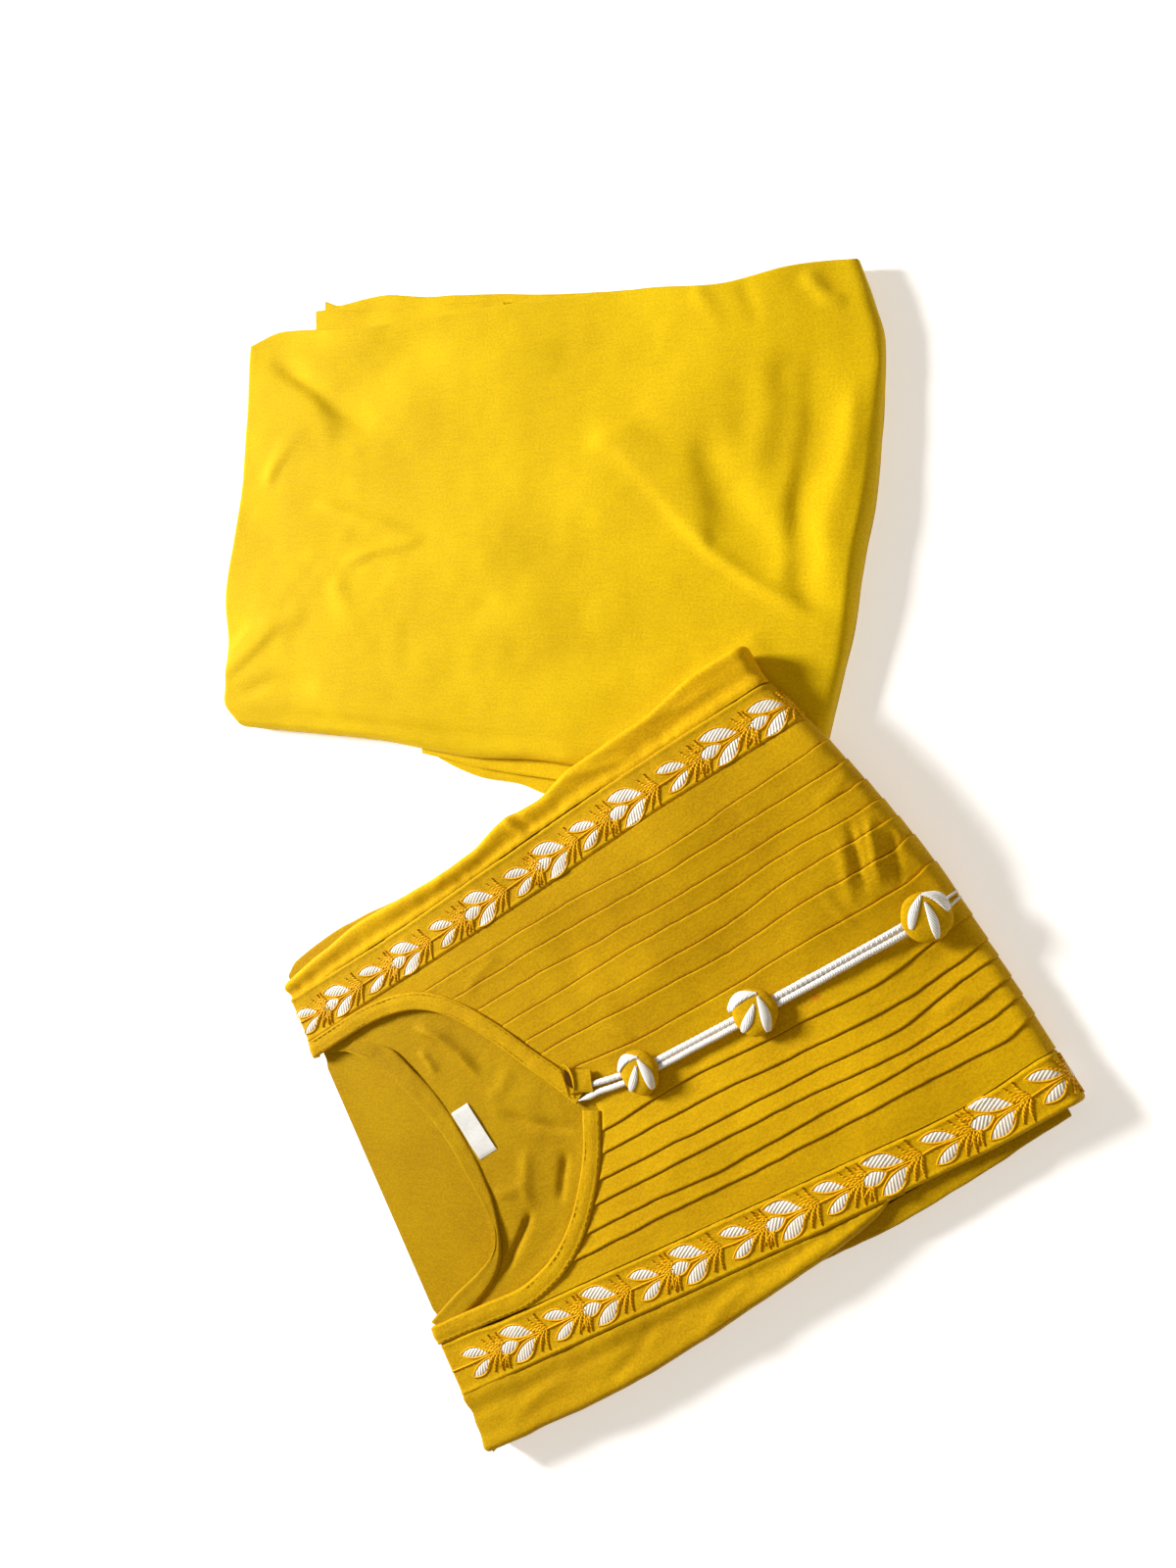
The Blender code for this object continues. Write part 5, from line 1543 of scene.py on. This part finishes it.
def sewing_thread(name, colour, share):
    return thread_material(name, tone(colour, share), tone(colour, share * 0.7))


def lamp(name, place, size, power):
    """A square lamp that faces the middle of the stage."""
    bpy.ops.object.light_add(type="AREA", location=place)
    made = bpy.context.object
    made.name = name
    made.data.size = size
    made.data.energy = power
    made.rotation_euler = (-made.location.normalized()).to_track_quat("-Z", "Y").to_euler()


class KURTASET_OT_stage(bpy.types.Operator):
    """Sets up the camera, the floor and the studio light."""

    bl_idname = "kurtaset.stage"
    bl_label = "Stage"

    def execute(self, context):
        scene = context.scene
        deselect()
        bpy.ops.object.camera_add(location=CAMERA_PLACE)
        camera = context.object
        camera.name = "camera"
        camera.matrix_world = Matrix.Translation(camera.location) @ Matrix(CAMERA_AXES).transposed().to_4x4()
        camera.data.sensor_fit = "VERTICAL"
        camera.data.sensor_height = CAMERA_SENSOR
        camera.data.lens = CAMERA_LENS
        scene.camera = camera
        deselect()
        bpy.ops.mesh.primitive_plane_add(size=FLOOR_SIZE, location=(0, 0, FLOOR_Z))
        floor = context.object
        floor.name = "floor"
        made, _, shader = new_material("pale floor")
        tune(shader, {
            "Base Color": FLOOR_COLOUR, "Roughness": 0.9, "Emission Color": (1.0, 1.0, 1.0, 1.0),
            "Emission Strength": FLOOR_GLOW,
        })
        floor.data.materials.append(made)
        for settings in LAMPS:
            lamp(*settings)
        scene.world = scene.world or bpy.data.worlds.new("studio")
        scene.world.use_nodes = True
        tune(scene.world.node_tree.nodes["Background"], {"Color": SKY_COLOUR, "Strength": SKY_STRENGTH})
        scene.view_settings.view_transform = "Standard"
        scene.view_settings.look = "None"
        return {"FINISHED"}


class KURTASET_OT_layers(bpy.types.Operator):
    """Makes the hidden folded layers of both packets."""

    bl_idname = "kurtaset.layers"
    bl_label = "Folded layers"

    def execute(self, context):
        # The hidden layers get the darker inside cloth: painted shade.
        kurta_layers("kurta_layers_cloth", kurta_cloth(context, "kurta cotton painted shade inside"))
        pant_layers("pant_layers_cloth", pant_cloth(context))
        return {"FINISHED"}


class KURTASET_OT_pant(bpy.types.Operator):
    """Makes the pant's sheet and the under layers that show past it."""

    bl_idname = "kurtaset.pant"
    bl_label = "Pant"

    def execute(self, context):
        material = pant_cloth(context)
        pant_sheet("pant_upper_leg_cloth", material)
        for layer in PANT_LAYERS:
            pant_layer(*layer, material)
        return {"FINISHED"}


class KURTASET_OT_tucks(bpy.types.Operator):
    """Makes the two tucked front panels."""

    bl_idname = "kurtaset.tucks"
    bl_label = "Tucked panels"

    def execute(self, context):
        for sign in SIDE_NAMES:
            tucked_panel(sign, kurta_cloth(context))
        return {"FINISHED"}


class KURTASET_OT_sides(bpy.types.Operator):
    """Makes the borders' cloth, the plain sides and the sleeves' edges."""

    bl_idname = "kurtaset.sides"
    bl_label = "Borders, sides and sleeves"

    def execute(self, context):
        for sign in SIDE_NAMES:
            border(sign, kurta_cloth(context))
        # The upper side's cloth is brighter: painted light.
        side(1, UPPER_EDGE, UPPER_SIDE_CREASES, kurta_cloth(context, "kurta cotton painted light upper side"))
        # The lower side and the sleeves get a darker cloth: painted shade.
        material = kurta_cloth(context, "kurta cotton painted shade side")
        side(-1, LOWER_EDGE, LOWER_SIDE_CREASES, material, LOWER_SIDE_END)
        for sign in SIDE_NAMES:
            sleeve(sign, material)
        return {"FINISHED"}


class KURTASET_OT_neck(bpy.types.Operator):
    """Makes the neck: the facings, the inside of the back, the label and the loop."""

    bl_idname = "kurtaset.neck"
    bl_label = "Neck"

    def execute(self, context):
        material = kurta_cloth(context)
        # The inside of the back and its facing get a darker cloth: painted shade.
        inside = kurta_cloth(context, "kurta cotton painted shade inside")
        back_panel("kurta_back_panel_cloth", inside)
        back_facing("kurta_back_neck_facing_cloth", inside)
        white = tuple(context.scene.kurta_set.colours.white)
        label_tape("kurta_label_tape", woven(
            "label tape", white, tone(white, 0.86), tone(white, 1.05), 0.0003, (300.0, 900.0, 1.0), 0.1,
        ))
        for sign in SIDE_NAMES:
            neck_facing(sign, material)
        neck_tab("kurta_neck_tab_loop", material)
        # A dark pad painted where the loop's hollow lies in shade.
        tab_painted_shade("kurta_neck_tab_painted_shade", thread_material("hollow", (0.09, 0.035, 0.001), (0.06, 0.02, 0.001)))
        return {"FINISHED"}


class KURTASET_OT_cords(bpy.types.Operator):
    """Makes the two white cords and the three buttons on them."""

    bl_idname = "kurtaset.cords"
    bl_label = "Cords and buttons"

    def execute(self, context):
        white = tuple(context.scene.kurta_set.colours.white)
        silk = satin("cord silk", white, tone(white, 0.8), 0.0008, 0.9, 0.2, 0.5)
        for sign in SIDE_NAMES:
            cord(sign, silk)
        petal_silk = satin("petal silk", white, tone(white, 0.78), 0.0008, 1.1)
        for number, at in enumerate(BUTTONS, 1):
            button(number, at, kurta_cloth(context), petal_silk)
        return {"FINISHED"}


class KURTASET_OT_embroidery(bpy.types.Operator):
    """Makes the sprays, stems and sprigs along both borders."""

    bl_idname = "kurtaset.embroidery"
    bl_label = "Embroidery"

    def execute(self, context):
        colours = context.scene.kurta_set.colours
        silver, gold_colour = tuple(colours.silver), tuple(colours.gold)
        leaf_silk = satin("leaf silk", silver, (silver[0] * 0.52, silver[1] * 0.44, silver[2] * 0.32), 0.0014, 0.75)
        gold = sewing_thread("gold thread", gold_colour, 1.25)
        gold_silk = satin("gold silk", tone(gold_colour, 1.3), tone(gold_colour, 0.45), 0.0013, 0.7)
        for sign in SIDE_NAMES:
            embroidery(sign, leaf_silk, gold, gold_silk)
        return {"FINISHED"}


class KURTASET_OT_stitches(bpy.types.Operator):
    """Makes the stitches along the tucks and the facings."""

    bl_idname = "kurtaset.stitches"
    bl_label = "Stitches"

    def execute(self, context):
        # The upper tucks' thread is very dark: real stitching whose colour also paints the shade in each crevice,
        # where the lit edges cast none.
        painted_shade_thread = thread_material("tuck thread", (0.22, 0.09, 0.002), (0.14, 0.055, 0.001))
        pale = thread_material("lower tuck thread", (0.5, 0.24, 0.003), (0.38, 0.17, 0.002))
        tuck_stitches(1, painted_shade_thread)
        tuck_stitches(-1, pale)
        kurta = context.scene.kurta_set.colours.kurta
        facing_stitches("kurta_facing_stitches", sewing_thread("facing thread", kurta, 0.8))
        return {"FINISHED"}


STEPS = (
    KURTASET_OT_stage, KURTASET_OT_layers, KURTASET_OT_pant, KURTASET_OT_tucks, KURTASET_OT_sides, KURTASET_OT_neck,
    KURTASET_OT_cords, KURTASET_OT_embroidery, KURTASET_OT_stitches,
)


class KURTASET_PT_panel(bpy.types.Panel):
    """Lists the steps and settings of the set."""

    bl_idname = "KURTASET_PT_panel"
    bl_label = "Kurta set"
    bl_space_type = "VIEW_3D"
    bl_region_type = "UI"
    bl_category = "Kurta set"

    def draw(self, context):
        settings = context.scene.kurta_set
        for group in (settings.colours, settings.sizes):
            for name in group.__annotations__:
                self.layout.prop(group, name)
        for step in STEPS:
            self.layout.operator(step.bl_idname)


CLASSES = (KurtaSetColours, KurtaSetSizes, KurtaSet, *STEPS, KURTASET_PT_panel)


def register():
    for made in CLASSES:
        bpy.utils.register_class(made)
    bpy.types.Scene.kurta_set = bpy.props.PointerProperty(type=KurtaSet)


def unregister():
    del bpy.types.Scene.kurta_set
    for made in reversed(CLASSES):
        bpy.utils.unregister_class(made)


def main():
    register()
    bpy.ops.kurtaset.stage()
    bpy.ops.kurtaset.layers()
    bpy.ops.kurtaset.pant()
    bpy.ops.kurtaset.tucks()
    bpy.ops.kurtaset.sides()
    bpy.ops.kurtaset.neck()
    bpy.ops.kurtaset.cords()
    bpy.ops.kurtaset.embroidery()
    bpy.ops.kurtaset.stitches()


if __name__ == "__main__":
    main()
